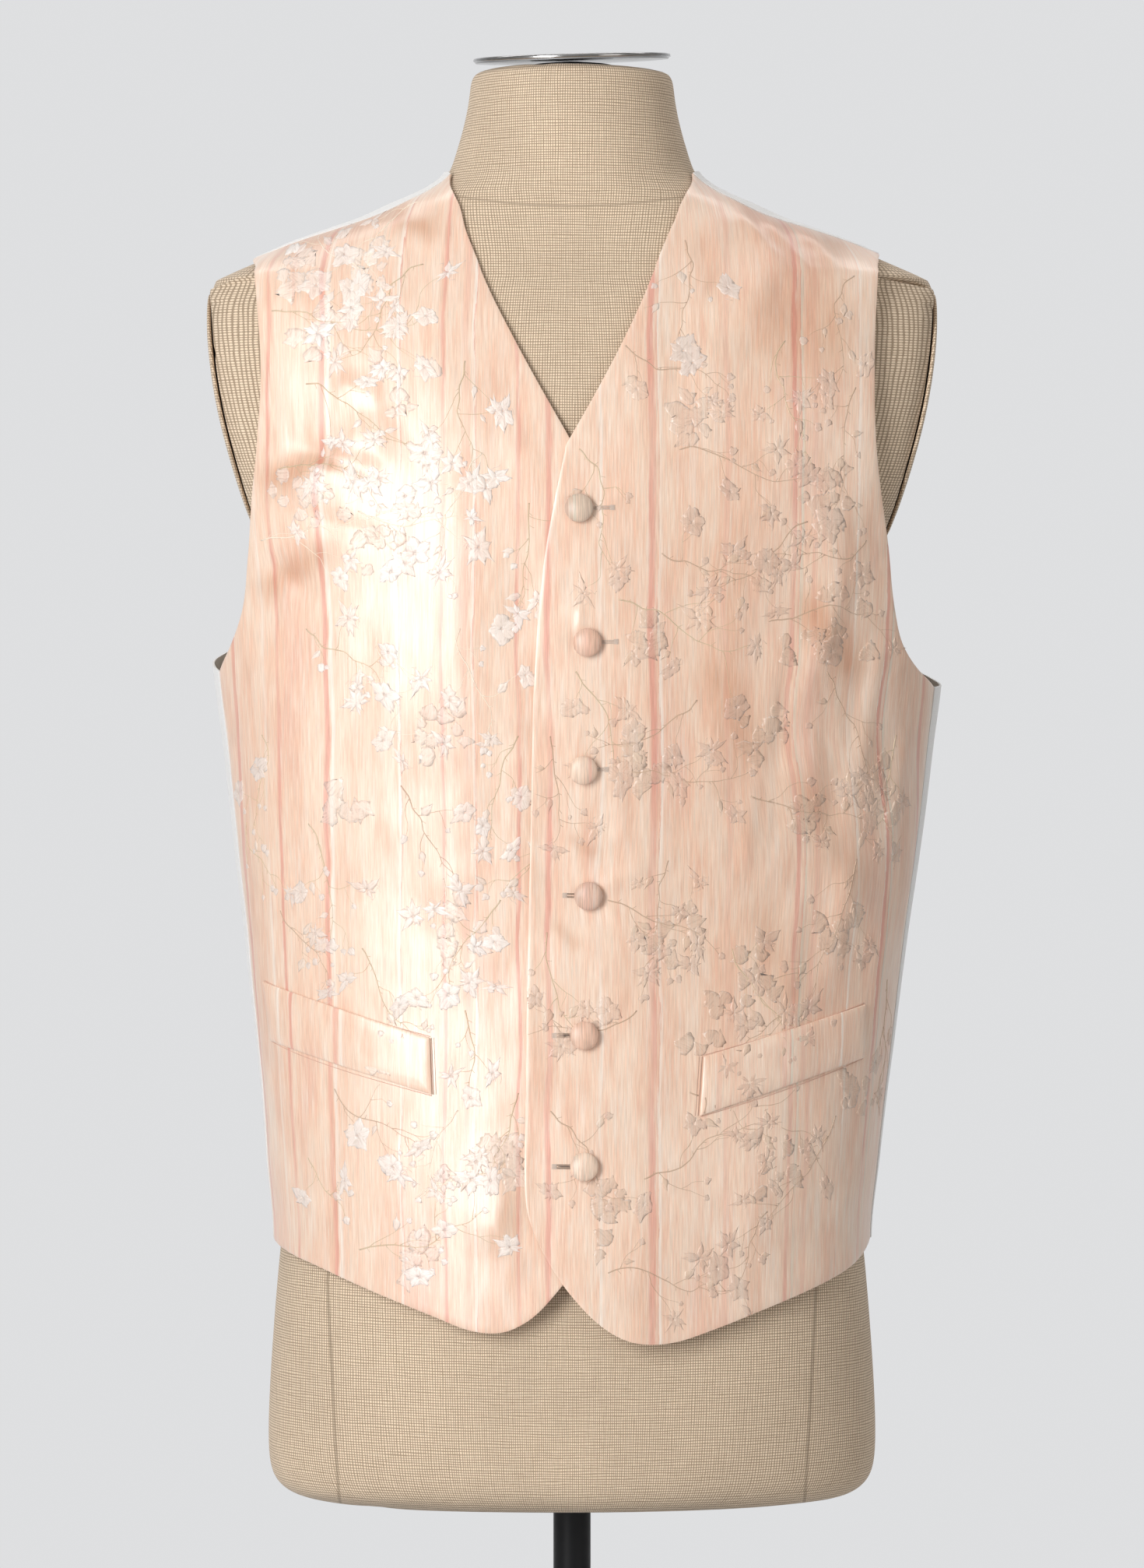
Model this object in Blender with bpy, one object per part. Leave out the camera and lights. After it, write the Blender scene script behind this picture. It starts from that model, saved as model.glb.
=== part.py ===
# A gilet (tailored waistcoat) on the limbless dress form it rests on.
# All tables are in millimetres; the meshes are made in metres, +Z up, front facing -Y.
# The origin is the centre of the base underside. +X is the wearer's left.

import math

import bpy
import numpy as np

# Driving dimensions, mm
front_wall = 1.6
back_wall = 1.2
welt_wall = 1.5
seam_gap = 0.4
layer_gap = 0.4
overlap_gap = 0.8
overlap_from = 34.0
overlap_until = 62.0
button_radius = 8.0
button_height = 6.6
plate_wall = 2.7
pole_radius = 10.8
base_radius = 155.0
base_height = 12.0
disc_radius = 57.0
disc_wall = 3.0
disc_lean_sideways = -1.6
disc_lean_forward = 4.0
stub_radius = 24.0
stub_low = 1022.3
stub_top = 1028.0
touch_gap = 0.3

front_columns = 16
front_rows_edge = 20
front_rows_neck = 10
side_rows_seam = 16
back_columns = 34
back_columns_under = 4
back_rows_armhole = 18
back_columns_shoulder = 6
welt_columns = 10
welt_rows = 3
form_columns = 40
form_flat_columns = 6
form_flat_turns = (72, 108)

# Dress form: half width, depth to the front, depth to the back, roundness
form_columns_named = ("z", "half", "front", "back", "power")
form_rows = (
    (200.0, 152.0, 87.0, 86.0, 2.2),
    (202.5, 163.0, 97.0, 96.0, 2.2),
    (208.0, 171.0, 104.5, 103.0, 2.2),
    (217.0, 175.5, 109.0, 107.0, 2.2),
    (235.0, 176.5, 111.0, 109.0, 2.2),
    (270.0, 175.2, 112.5, 110.5, 2.2),
    (333.0, 170.4, 112.6, 109.0, 2.2),
    (380.0, 165.0, 109.6, 105.0, 2.2),
    (430.0, 159.8, 106.6, 100.8, 2.2),
    (530.0, 151.0, 101.0, 95.0, 2.2),
    (600.0, 155.0, 107.0, 97.0, 2.2),
    (650.0, 161.5, 113.5, 100.0, 2.25),
    (700.0, 172.0, 117.0, 104.0, 2.3),
    (728.0, 175.6, 117.6, 106.5, 2.35),
    (738.0, 177.6, 117.6, 107.4, 2.38),
    (745.0, 182.5, 117.3, 108.0, 2.4),
    (769.0, 199.0, 115.2, 109.2, 2.45),
    (797.0, 209.0, 111.3, 109.6, 2.5),
    (819.0, 214.5, 107.0, 108.6, 2.5),
    (847.0, 219.0, 100.0, 105.6, 2.5),
    (869.0, 219.5, 93.2, 101.6, 2.5),
    (885.0, 217.0, 87.4, 97.2, 2.5),
    (895.0, 212.5, 83.0, 93.4, 2.5),
    (901.0, 206.5, 80.2, 90.6, 2.5),
    (906.5, 195.0, 77.6, 87.2, 2.45),
    (912.5, 180.5, 75.0, 84.4, 2.4),
    (920.0, 164.0, 72.6, 81.2, 2.35),
    (928.0, 142.6, 70.4, 78.0, 2.3),
    (935.6, 121.0, 68.8, 74.2, 2.25),
    (943.0, 105.0, 67.2, 71.2, 2.2),
    (949.0, 90.6, 66.2, 69.4, 2.15),
    (955.4, 78.4, 65.2, 68.6, 2.1),
    (962.0, 71.0, 64.2, 67.0, 2.05),
    (974.0, 67.2, 62.2, 64.6, 2.0),
    (990.0, 62.4, 60.0, 61.4, 2.0),
    (1005.0, 59.4, 58.6, 59.2, 2.0),
    (1014.0, 58.7, 58.0, 58.6, 2.0),
    (1019.0, 57.2, 56.6, 57.2, 2.0),
    (1022.0, 53.0, 52.4, 53.0, 2.0),
)

# Outer face of each arm plate, how far out it is at each height
plate_columns_named = ("z", "out")
plate_rows = (
    (738.0, 176.8), (769.0, 186.9), (797.0, 195.2), (819.0, 201.2), (847.0, 206.5),
    (869.0, 209.1), (901.0, 211.2),
)
plate_low_z = 737.9
plate_high_z = 900.0
plate_centre_z = 822.0
plate_reach_z = 74.0
plate_breadth_share = 0.62
plate_points = 24

# Garment, outer face: half width on the wearer's left and right, depths, roundness
cloth_columns_named = ("z", "left", "right", "front", "back", "power")
cloth_rows = (
    (290.0, 175.0, 175.0, 127.0, 114.5, 2.1),
    (350.0, 173.4, 173.2, 125.6, 114.0, 2.1),
    (395.0, 178.0, 177.0, 121.8, 111.4, 2.1),
    (430.0, 182.0, 179.5, 118.8, 109.8, 2.1),
    (460.0, 186.0, 182.5, 116.4, 109.2, 2.1),
    (500.0, 191.0, 187.0, 114.2, 109.0, 2.1),
    (530.0, 195.0, 190.0, 113.4, 109.4, 2.1),
    (567.0, 200.5, 194.5, 114.0, 110.8, 2.1),
    (600.0, 205.0, 198.0, 116.0, 112.4, 2.1),
    (634.0, 209.0, 201.8, 119.0, 114.0, 2.1),
    (670.0, 213.6, 206.5, 122.0, 115.2, 2.1),
    (700.0, 215.8, 209.5, 122.8, 115.8, 2.12),
    (745.0, 217.5, 213.5, 122.4, 116.0, 2.16),
    (769.0, 218.6, 215.8, 120.4, 115.8, 2.24),
    (797.0, 220.4, 219.0, 116.4, 115.0, 2.34),
    (819.0, 222.0, 221.4, 112.0, 113.4, 2.42),
    (847.0, 223.8, 223.6, 104.8, 109.8, 2.46),
    (869.0, 224.0, 224.0, 97.8, 105.4, 2.48),
    (885.0, 222.4, 222.4, 91.8, 100.8, 2.5),
    (895.0, 219.0, 219.0, 87.2, 96.8, 2.5),
    (903.0, 212.0, 212.0, 83.2, 93.0, 2.48),
    (908.0, 201.0, 201.0, 80.4, 90.4, 2.45),
    (915.4, 180.8, 180.8, 77.4, 87.4, 2.4),
    (922.4, 165.0, 165.0, 75.0, 84.4, 2.35),
    (930.2, 143.6, 143.6, 73.0, 81.6, 2.3),
    (937.6, 122.4, 122.4, 71.4, 79.0, 2.25),
    (945.0, 106.4, 106.4, 70.0, 76.4, 2.2),
    (951.0, 92.4, 92.4, 69.0, 74.4, 2.15),
    (957.4, 80.6, 80.6, 68.0, 72.6, 2.1),
    (963.4, 74.2, 74.2, 67.2, 71.2, 2.06),
    (976.0, 70.4, 70.4, 65.6, 68.6, 2.0),
    (990.0, 66.0, 66.0, 63.6, 65.0, 2.0),
)

# Soft folds in the fronts. Columns: start x and z, end x and z, half breadth, height
fold_rows = (
    (152.0, 800.0, 128.0, 560.0, 15.0, 3.2),
    (96.0, 760.0, 84.0, 590.0, 15.0, 2.2),
    (166.0, 660.0, 150.0, 500.0, 13.0, 2.0),
    (120.0, 925.0, 96.0, 860.0, 12.0, 2.4),
    (-172.0, 770.0, -92.0, 815.0, 15.0, 3.0),
    (-60.0, 800.0, -66.0, 520.0, 20.0, 2.6),
    (-158.0, 690.0, -140.0, 560.0, 16.0, 2.0),
    (-44.0, 420.0, -40.0, 345.0, 16.0, 2.4),
)

# Levels between which a shoulder point is looked for
shoulder_search = (880.0, 985.0)

# Outlines seen from the front, x and z. Side seams are given as a turn from the front.
side_turn_top = 82.0
side_turn_hem = 84.6

left_under_z = 667.0
left_hem_z = 350.0
left_armhole = ((197.0, 678.0), (188.0, 692.0), (183.2, 713.0), (179.8, 745.0),
                (174.4, 782.0), (171.6, 815.0), (172.4, 850.0), (176.0, 886.0))
left_hem = ((160.5, 337.5), (147.0, 331.0), (104.0, 315.5), (81.0, 307.5), (60.0, 301.0),
            (46.5, 299.6), (34.0, 300.9), (24.0, 305.0), (13.5, 312.5), (4.5, 321.5),
            (-5.2, 333.5), (-14.8, 348.5), (-20.4, 360.5))
left_edge = ((-24.6, 372.0), (-26.3, 392.0), (-26.0, 440.0), (-24.9, 511.0), (-22.8, 600.0),
             (-20.6, 680.0), (-16.6, 730.0), (-9.6, 772.0), (-4.6, 796.0))
left_point = (-3.4, 802.5)
left_neck = ((7.9, 822.0), (25.4, 854.5), (44.6, 897.0), (57.5, 932.0))
left_shoulder = ((69.6, -27.0), (82.0, -33.0), (101.0, -36.0), (121.0, -35.0),
                 (143.0, -31.0), (161.0, -27.0), (180.4, -22.0))

right_under_z = 676.0
right_hem_z = 350.0
right_armhole = ((-195.5, 690.0), (-188.0, 710.0), (-184.4, 740.0), (-182.0, 772.0),
                 (-178.4, 806.0), (-176.8, 837.0), (-178.8, 870.0), (-182.4, 898.0))
right_hem = ((-158.0, 343.0), (-145.0, 339.0), (-113.0, 327.0), (-79.6, 315.0),
             (-59.4, 307.6), (-47.8, 305.8), (-37.8, 306.6), (-27.6, 311.0), (-19.0, 317.4),
             (-5.2, 333.0), (5.0, 347.0), (11.0, 358.0))
right_edge = ((15.6, 372.0), (18.6, 395.0), (20.0, 440.0), (20.5, 511.0), (20.5, 600.0),
              (20.5, 680.0), (20.0, 735.0))
right_point = (18.6, 762.0)
right_neck = ((8.5, 788.0), (-2.6, 809.0), (-28.0, 854.5), (-42.7, 883.0), (-58.0, 921.0))
right_shoulder = ((-69.8, -27.0), (-82.0, -33.0), (-101.0, -36.0), (-121.0, -35.0),
                  (-143.0, -31.0), (-163.0, -27.0), (-183.8, -22.0))

# Back armholes: under the arm as turn and z, up the back as x and z, over the ridge as x and y
back_under_left = ((90.0, 668.5), (98.0, 673.0), (104.0, 680.0))
back_armhole_left = ((190.5, 691.0), (185.0, 708.0), (182.0, 728.0), (179.2, 750.0),
                     (174.2, 785.0), (171.6, 818.0), (172.6, 850.0), (176.0, 880.0),
                     (179.4, 900.0))
back_tip_left = ((181.2, 34.0), (181.6, 12.0), (181.2, -8.0))
back_under_right = ((-90.0, 681.5), (-98.0, 686.5), (-104.0, 693.0))
back_armhole_right = ((-188.5, 704.0), (-185.2, 722.0), (-184.2, 744.0), (-181.8, 774.0),
                      (-178.2, 807.0), (-177.0, 838.0), (-178.8, 868.0), (-182.0, 894.0))
back_tip_right = ((-184.0, 38.0), (-184.8, 14.0), (-184.5, -8.0))
# Back neck, turn from the front in degrees and z
back_neck = ((79.0, 965.5), (90.0, 968.0), (118.0, 970.5), (148.0, 972.5), (180.0, 973.0))

# Welts, corners x and z: top outer, top inner, bottom inner, bottom outer
welt_left_corners = ((166.0, 486.7), (73.6, 459.9), (71.4, 426.7), (165.2, 456.2))
welt_right_corners = ((-176.0, 499.0), (-79.8, 470.3), (-78.5, 438.5), (-171.4, 465.3))

button_places = ((3.9, 766.6), (8.4, 692.2), (6.1, 621.2), (9.1, 550.4), (6.8, 472.0), (6.8, 398.9))


def smooth_column(stations, values):
    stations = np.array(stations, float)
    values = np.array(values, float)
    steps = np.diff(stations)
    slopes = np.diff(values) / steps
    tangents = np.zeros(len(stations))
    tangents[0] = slopes[0]
    tangents[-1] = slopes[-1]
    for i in range(1, len(stations) - 1):
        if slopes[i - 1] * slopes[i] > 0:
            before = 2 * steps[i] + steps[i - 1]
            after = steps[i] + 2 * steps[i - 1]
            tangents[i] = (before + after) / (before / slopes[i - 1] + after / slopes[i])

    def value_at(station):
        station = np.clip(station, stations[0], stations[-1])
        i = np.clip(np.searchsorted(stations, station) - 1, 0, len(stations) - 2)
        t = (station - stations[i]) / steps[i]
        rise = values[i] * (1 + 2 * t) * (1 - t) ** 2 + values[i + 1] * t * t * (3 - 2 * t)
        bend = tangents[i] * t * (1 - t) ** 2 - tangents[i + 1] * t * t * (1 - t)
        return rise + bend * steps[i]

    return value_at


def smooth_table(names, rows):
    stations = [row[0] for row in rows]
    return {
        name: smooth_column(stations, [row[i] for row in rows])
        for i, name in enumerate(names)
        if i
    }


def section_point(left, right, front, back, power, turn, z):
    across = np.sin(turn)
    along = -np.cos(turn)
    half = np.where(across >= 0, left, right)
    depth = np.where(along < 0, front, back)
    reach = (np.abs(across) / half) ** power + (np.abs(along) / depth) ** power
    radius = reach ** (-1.0 / power)
    return np.stack([radius * across, radius * along, z + 0.0 * radius], axis=-1)


form_table = smooth_table(form_columns_named, form_rows)
plate_table = smooth_table(plate_columns_named, plate_rows)
cloth_table = smooth_table(cloth_columns_named, cloth_rows)


def cloth_base(turn, z):
    turn, z = np.broadcast_arrays(np.asarray(turn, float), np.asarray(z, float))
    return section_point(
        cloth_table["left"](z), cloth_table["right"](z), cloth_table["front"](z),
        cloth_table["back"](z), cloth_table["power"](z), turn, z,
    )


def cloth_normal(turn, z):
    small_turn = 1e-3
    small_rise = 0.2
    around = cloth_base(turn + small_turn, z) - cloth_base(turn - small_turn, z)
    upward = cloth_base(turn, z + small_rise) - cloth_base(turn, z - small_rise)
    normal = np.cross(around, upward)
    return normal / np.linalg.norm(normal, axis=-1, keepdims=True)


def ease(t):
    t = np.clip(t, 0.0, 1.0)
    return t * t * (3 - 2 * t)


def fold_height(x, z):
    height = np.zeros(np.broadcast(x, z).shape)
    for x0, z0, x1, z1, breadth, rise in fold_rows:
        run = np.array([x1 - x0, z1 - z0])
        length = float(np.hypot(run[0], run[1]))
        along = ((x - x0) * run[0] + (z - z0) * run[1]) / length ** 2
        away = ((x - x0) * run[1] - (z - z0) * run[0]) / length
        fade = ease(along / 0.3) * ease((1 - along) / 0.3)
        height = height + rise * fade * np.exp(-((away / breadth) ** 2))
    return height


def overlap_lift(x):
    return (front_wall + overlap_gap) * ease((overlap_until - x) / (overlap_until - overlap_from))


def front_surface(turn, z, out, lifted):
    point = cloth_base(turn, z)
    x = point[..., 0]
    height = fold_height(x, z) * ease((np.abs(x) - 22.0) / 20.0)
    if lifted:
        height = height + overlap_lift(x)
    return point + cloth_normal(turn, z) * (height + out)[..., None]


def turn_of(x, z):
    half = np.where(np.asarray(x) >= 0, cloth_table["left"](z), cloth_table["right"](z))
    power = cloth_table["power"](z)
    part = np.clip(1 - (np.abs(x) / half) ** power, 1e-9, 1)
    return np.arctan2(x, cloth_table["front"](z) * part ** (1 / power))


def height_on_shoulder(x, y):
    # Where the cloth crosses this x and y between its widest level and its neck
    low, high = shoulder_search
    for _ in range(50):
        z = 0.5 * (low + high)
        half = cloth_table["left"](z) if x >= 0 else cloth_table["right"](z)
        depth = cloth_table["front"](z) if y < 0 else cloth_table["back"](z)
        power = cloth_table["power"](z)
        if (abs(x) / half) ** power + (abs(y) / depth) ** power > 1:
            high = z
        else:
            low = z
    return 0.5 * (low + high)


# Charts lay the cloth out flat: a turn about the form's axis times this radius, and z
turn_scale = 150.0
full_turn = 2 * math.pi * turn_scale


def chart_front(points):
    return [(float(turn_of(x, z)) * turn_scale, z) for x, z in points]


def chart_shoulder(points):
    chart = []
    for x, y in points:
        chart.append((math.atan2(x, -y) * turn_scale, height_on_shoulder(x, y)))
    return chart


def chart_back(points):
    chart = []
    for x, z in points:
        half = cloth_table["left" if x >= 0 else "right"](z)
        power = cloth_table["power"](z)
        depth = cloth_table["back"](z) * (1 - (abs(x) / half) ** power) ** (1 / power)
        chart.append((math.atan2(x, -float(depth)) * turn_scale, z))
    return chart


def chart_turns(points):
    return [(math.radians(turn) * turn_scale, z) for turn, z in points]


def side_seam(side, top_z, hem_z):
    zs = np.linspace(hem_z, top_z, 9)
    turns = side_turn_hem + (side_turn_top - side_turn_hem) * (zs - hem_z) / (top_z - hem_z)
    return [(side * math.radians(t) * turn_scale, z) for t, z in zip(turns, zs)]


def curve_samples(points, fractions):
    points = np.array(points, float)
    first = 2 * points[0] - points[1]
    last = 2 * points[-1] - points[-2]
    padded = np.vstack([first, points, last])
    dense = []
    for i in range(1, len(padded) - 2):
        p0, p1, p2, p3 = padded[i - 1:i + 3]
        k0 = max(np.linalg.norm(p1 - p0) ** 0.5, 1e-6)
        k1 = max(np.linalg.norm(p2 - p1) ** 0.5, 1e-6)
        k2 = max(np.linalg.norm(p3 - p2) ** 0.5, 1e-6)
        m1 = k1 * ((p1 - p0) / k0 - (p2 - p0) / (k0 + k1) + (p2 - p1) / k1)
        m2 = k1 * ((p2 - p1) / k1 - (p3 - p1) / (k1 + k2) + (p3 - p2) / k2)
        for t in np.linspace(0, 1, 16, endpoint=False):
            rise = p1 * (1 + 2 * t) * (1 - t) ** 2 + p2 * t * t * (3 - 2 * t)
            dense.append(rise + m1 * t * (1 - t) ** 2 - m2 * t * t * (1 - t))
    dense.append(points[-1])
    dense = np.array(dense)
    reach = np.concatenate([[0], np.cumsum(np.linalg.norm(np.diff(dense, axis=0), axis=1))])
    wanted = np.asarray(fractions) * reach[-1]
    return np.stack([np.interp(wanted, reach, dense[:, k]) for k in (0, 1)], axis=-1)


def joined_curve(parts):
    samples = [curve_samples(points, fractions) for points, fractions in parts]
    return np.vstack([samples[0]] + [part[1:] for part in samples[1:]])


def coons(bottom, top, start, end, hold=0.0):
    # hold keeps the bottom's shape for that share of the way up
    reach = np.concatenate([[0], np.cumsum(np.linalg.norm(np.diff(bottom, axis=0), axis=1))])
    across = reach / reach[-1]
    rise = np.linspace(0, 1, len(start))
    u = across[None, :, None]
    v = ((rise - hold) / (1 - hold)).clip(0, 1)[:, None, None]
    if hold:
        v = ease(v)
    sides = (1 - u) * start[:, None, :] + u * end[:, None, :]
    ends = (1 - v) * bottom[None, :, :] + v * top[None, :, :]
    corners = (
        (1 - u) * (1 - v) * bottom[0] + u * (1 - v) * bottom[-1]
        + (1 - u) * v * top[0] + u * v * top[-1]
    )
    return sides + ends - corners


def away_from_surface(point):
    x, y, z = point[..., 0], point[..., 1], point[..., 2]
    half = np.where(x >= 0, cloth_table["left"](z), cloth_table["right"](z))
    depth = np.where(y < 0, cloth_table["front"](z), cloth_table["back"](z))
    power = cloth_table["power"](z)
    return ((np.abs(x) / half) ** power + (np.abs(y) / depth) ** power) ** (1 / power) - 1


def surface_slope(point):
    slope = np.zeros_like(point)
    for axis in range(3):
        step = np.zeros(3)
        step[axis] = 0.05
        slope[..., axis] = (away_from_surface(point + step) - away_from_surface(point - step)) / 0.1
    return slope


def onto_surface(point):
    for _ in range(25):
        slope = surface_slope(point)
        move = away_from_surface(point) / np.sum(slope ** 2, axis=-1)
        step = slope * move[..., None]
        length = np.linalg.norm(step, axis=-1, keepdims=True)
        point = point - step * np.minimum(1.0, 12.0 / np.maximum(length, 1e-9))
    return point


def even(count):
    return np.linspace(0, 1, count + 1)


def closer_to_end(count, strength=1.3):
    return 1 - (1 - np.linspace(0, 1, count + 1)) ** strength


def pull_in(grid, rows, columns):
    # Move a panel's seam edges back by half the seam gap
    grid = grid.copy()
    for row, step in rows:
        away = grid[row + step] - grid[row]
        grid[row] += away / np.linalg.norm(away, axis=-1, keepdims=True) * seam_gap / 2
    for column, step, first, last in columns:
        away = grid[first:last, column + step] - grid[first:last, column]
        pull = away / np.linalg.norm(away, axis=-1, keepdims=True) * seam_gap / 2
        grid[first:last, column] += pull
    return grid


def shell_faces(outer, inner, active=None):
    # Faces of a wall between two grids of points, over the cells that are part of the piece
    rows, columns = outer.shape[:2]
    if active is None:
        active = np.ones((rows - 1, columns - 1), bool)
    count = rows * columns
    cells = []
    for r, c in zip(*np.nonzero(active)):
        a = int(r) * columns + int(c)
        cells.append((a, a + 1, a + columns + 1, a + columns))
    sides = {(cell[i], cell[(i + 1) % 4]) for cell in cells for i in range(4)}
    faces = list(cells)
    faces += [tuple(i + count for i in reversed(cell)) for cell in cells]
    faces += [(b, a, a + count, b + count) for a, b in sides if (b, a) not in sides]
    used = sorted({i for face in faces for i in face})
    renumbered = {old: new for new, old in enumerate(used)}
    points = np.vstack([outer.reshape(-1, 3), inner.reshape(-1, 3)])[used]
    return points, [tuple(renumbered[i] for i in face) for face in faces]


def rings_faces(rings, start_point, end_point):
    columns = len(rings[0])
    points = [tuple(start_point)]
    for ring in rings:
        points += [tuple(point) for point in ring]
    points.append(tuple(end_point))
    faces = []
    for c in range(columns):
        d = (c + 1) % columns
        faces.append((0, 1 + d, 1 + c))
        for r in range(len(rings) - 1):
            a = 1 + r * columns
            b = a + columns
            faces.append((a + c, a + d, b + d, b + c))
        last = 1 + (len(rings) - 1) * columns
        faces.append((last + c, last + d, len(points) - 1))
    return np.array(points), faces


def turned_solid(profile, centre, axis, count):
    # A profile of radius and height pairs, from the axis out and back to the axis
    axis = np.array(axis, float) / np.linalg.norm(axis)
    helper = np.array([1.0, 0, 0]) if abs(axis[0]) < 0.8 else np.array([0, 1.0, 0])
    side = np.cross(axis, helper)
    side /= np.linalg.norm(side)
    other = np.cross(axis, side)
    turns = np.arange(count) * 2 * math.pi / count
    circle = np.cos(turns)[:, None] * side + np.sin(turns)[:, None] * other
    centre = np.array(centre, float)
    rings = [centre + radius * circle + height * axis for radius, height in profile]
    low = centre + profile[0][1] * axis
    high = centre + profile[-1][1] * axis
    return rings_faces(rings, low, high)


def add_solid(name, points, faces, material):
    points = np.asarray(points, float)
    volume = 0.0
    for face in faces:
        for i in range(1, len(face) - 1):
            a, b, c = points[face[0]], points[face[i]], points[face[i + 1]]
            volume += float(np.dot(a, np.cross(b, c))) / 6
    if volume < 0:
        faces = [tuple(reversed(face)) for face in faces]
    mesh = bpy.data.meshes.new(name)
    mesh.from_pydata([tuple(point / 1000) for point in points], [], faces)
    mesh.update()
    solid = bpy.data.objects.new(name, mesh)
    bpy.context.scene.collection.objects.link(solid)
    solid.data.materials.append(material)
    print(name, "volume cm3", round(abs(volume) / 1000, 1))
    return solid


def plain_material(name, color, roughness, metallic=0.0):
    material = bpy.data.materials.new(name)
    material.use_nodes = True
    shader = material.node_tree.nodes["Principled BSDF"]
    shader.inputs["Base Color"].default_value = (color[0], color[1], color[2], 1)
    shader.inputs["Roughness"].default_value = roughness
    shader.inputs["Metallic"].default_value = metallic
    return material


for leftover in list(bpy.data.objects):
    bpy.data.objects.remove(leftover)

satin_front = plain_material("patterned_satin", (0.83, 0.6, 0.46), 0.4)
satin_back = plain_material("white_satin", (0.86, 0.86, 0.86), 0.4)
button_cloth = plain_material("button_satin", (0.76, 0.56, 0.44), 0.45)
linen = plain_material("linen", (0.36, 0.28, 0.19), 0.85)
dark_fitting = plain_material("dark_fitting", (0.03, 0.03, 0.03), 0.5)
polished_disc = plain_material("polished_disc", (0.6, 0.6, 0.6), 0.2, 1.0)
black_paint = plain_material("black_paint", (0.01, 0.01, 0.012), 0.35)


def front_walls(chart, lifted):
    turn = chart[..., 0] / turn_scale
    z = chart[..., 1]
    return front_surface(turn, z, 0.0, lifted), front_surface(turn, z, -front_wall, lifted)


# Wearer's left front, the top layer at the closing
seam_left = side_seam(1, left_under_z, left_hem_z)
armhole_rows = front_rows_edge + front_rows_neck - side_rows_seam
hem_corner_left = chart_front([left_hem[-1]])[0]
point_left = chart_front([left_point])[0]
shoulder_left = chart_shoulder(left_shoulder)
left_start = joined_curve([
    ([hem_corner_left] + chart_front(left_edge) + [point_left], even(front_rows_edge)),
    ([point_left] + chart_front(left_neck) + [shoulder_left[0]], closer_to_end(front_rows_neck)),
])
armhole_left = [seam_left[-1]] + chart_front(left_armhole) + [shoulder_left[-1]]
left_end = joined_curve([
    (seam_left, even(side_rows_seam)),
    (armhole_left, closer_to_end(armhole_rows)),
])
left_bottom = curve_samples(
    list(reversed([seam_left[0]] + chart_front(left_hem))), even(front_columns)
)
left_top = curve_samples(shoulder_left, even(front_columns))
left_chart = coons(left_bottom, left_top, left_start, left_end)
outer, inner = front_walls(left_chart, True)
seam_edges = ([(-1, -1)], [(-1, -1, 0, side_rows_seam + 1)])
outer = pull_in(outer, *seam_edges)
inner = pull_in(inner, *seam_edges)
add_solid("front_left", *shell_faces(outer, inner), satin_front)

# Wearer's right front, under the left front at the closing
seam_right = side_seam(-1, right_under_z, right_hem_z)
hem_corner_right = chart_front([right_hem[-1]])[0]
point_right = chart_front([right_point])[0]
shoulder_right = chart_shoulder(right_shoulder)
right_start = joined_curve([
    ([hem_corner_right] + chart_front(right_edge) + [point_right], even(front_rows_edge - 1)),
    ([point_right] + chart_front(right_neck) + [shoulder_right[0]],
     closer_to_end(front_rows_neck + 1)),
])
armhole_right = [seam_right[-1]] + chart_front(right_armhole) + [shoulder_right[-1]]
right_end = joined_curve([
    (seam_right, even(side_rows_seam)),
    (armhole_right, closer_to_end(armhole_rows)),
])
right_bottom = curve_samples(
    list(reversed([seam_right[0]] + chart_front(right_hem))), even(front_columns)
)
right_top = curve_samples(shoulder_right, even(front_columns))
right_chart = coons(right_bottom, right_top, right_start, right_end)
outer, inner = front_walls(right_chart, False)
outer = pull_in(outer, *seam_edges)
inner = pull_in(inner, *seam_edges)
add_solid("front_right", *shell_faces(outer, inner), satin_front)

# Back, in one piece: a lower block from seam to seam and an upper one between the armholes
upper_columns = back_columns - 2 * back_columns_under
neck_count = upper_columns - 2 * back_columns_shoulder


def on_cloth(chart):
    return cloth_base(chart[..., 0] / turn_scale, chart[..., 1])


def turned_round(points):
    return [(turn + full_turn, z) for turn, z in points]


corner_left = chart_back(back_armhole_left[:1])[0]
corner_right = turned_round(chart_back(back_armhole_right[:1]))[0]
run_left = [seam_left[-1]] + chart_turns(back_under_left) + [corner_left]
run_right = turned_round([seam_right[-1]] + chart_turns(back_under_right)) + [corner_right]
across_back = curve_samples([corner_left, corner_right], even(upper_columns))
lower_top = np.vstack([
    curve_samples(run_left, even(back_columns_under))[:-1],
    across_back,
    curve_samples(run_right, even(back_columns_under))[-2::-1],
])
back_turns = np.linspace(seam_left[0][0], turned_round(seam_right)[0][0], back_columns + 1)
lower_bottom = np.stack([back_turns, np.full(back_columns + 1, left_hem_z)], axis=-1)
lower = on_cloth(coons(
    lower_bottom, lower_top,
    curve_samples(seam_left, even(side_rows_seam)),
    curve_samples(turned_round(seam_right), even(side_rows_seam)),
))
neck_left = [shoulder_left[0]] + chart_turns(back_neck)
neck_right = [(full_turn - turn, z) for turn, z in reversed(chart_turns(back_neck)[:-1])]
neck_right += turned_round(shoulder_right[:1])
upper_top = on_cloth(joined_curve([
    (list(reversed(shoulder_left)), even(back_columns_shoulder)),
    (neck_left + neck_right, even(neck_count)),
    (turned_round(shoulder_right), even(back_columns_shoulder)),
]))
upper_start = on_cloth(curve_samples(
    chart_back(back_armhole_left) + chart_shoulder(back_tip_left) + [shoulder_left[-1]],
    closer_to_end(back_rows_armhole),
))
upper_end = on_cloth(curve_samples(
    chart_back(back_armhole_right) + chart_shoulder(back_tip_right) + [shoulder_right[-1]],
    closer_to_end(back_rows_armhole),
))
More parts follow.
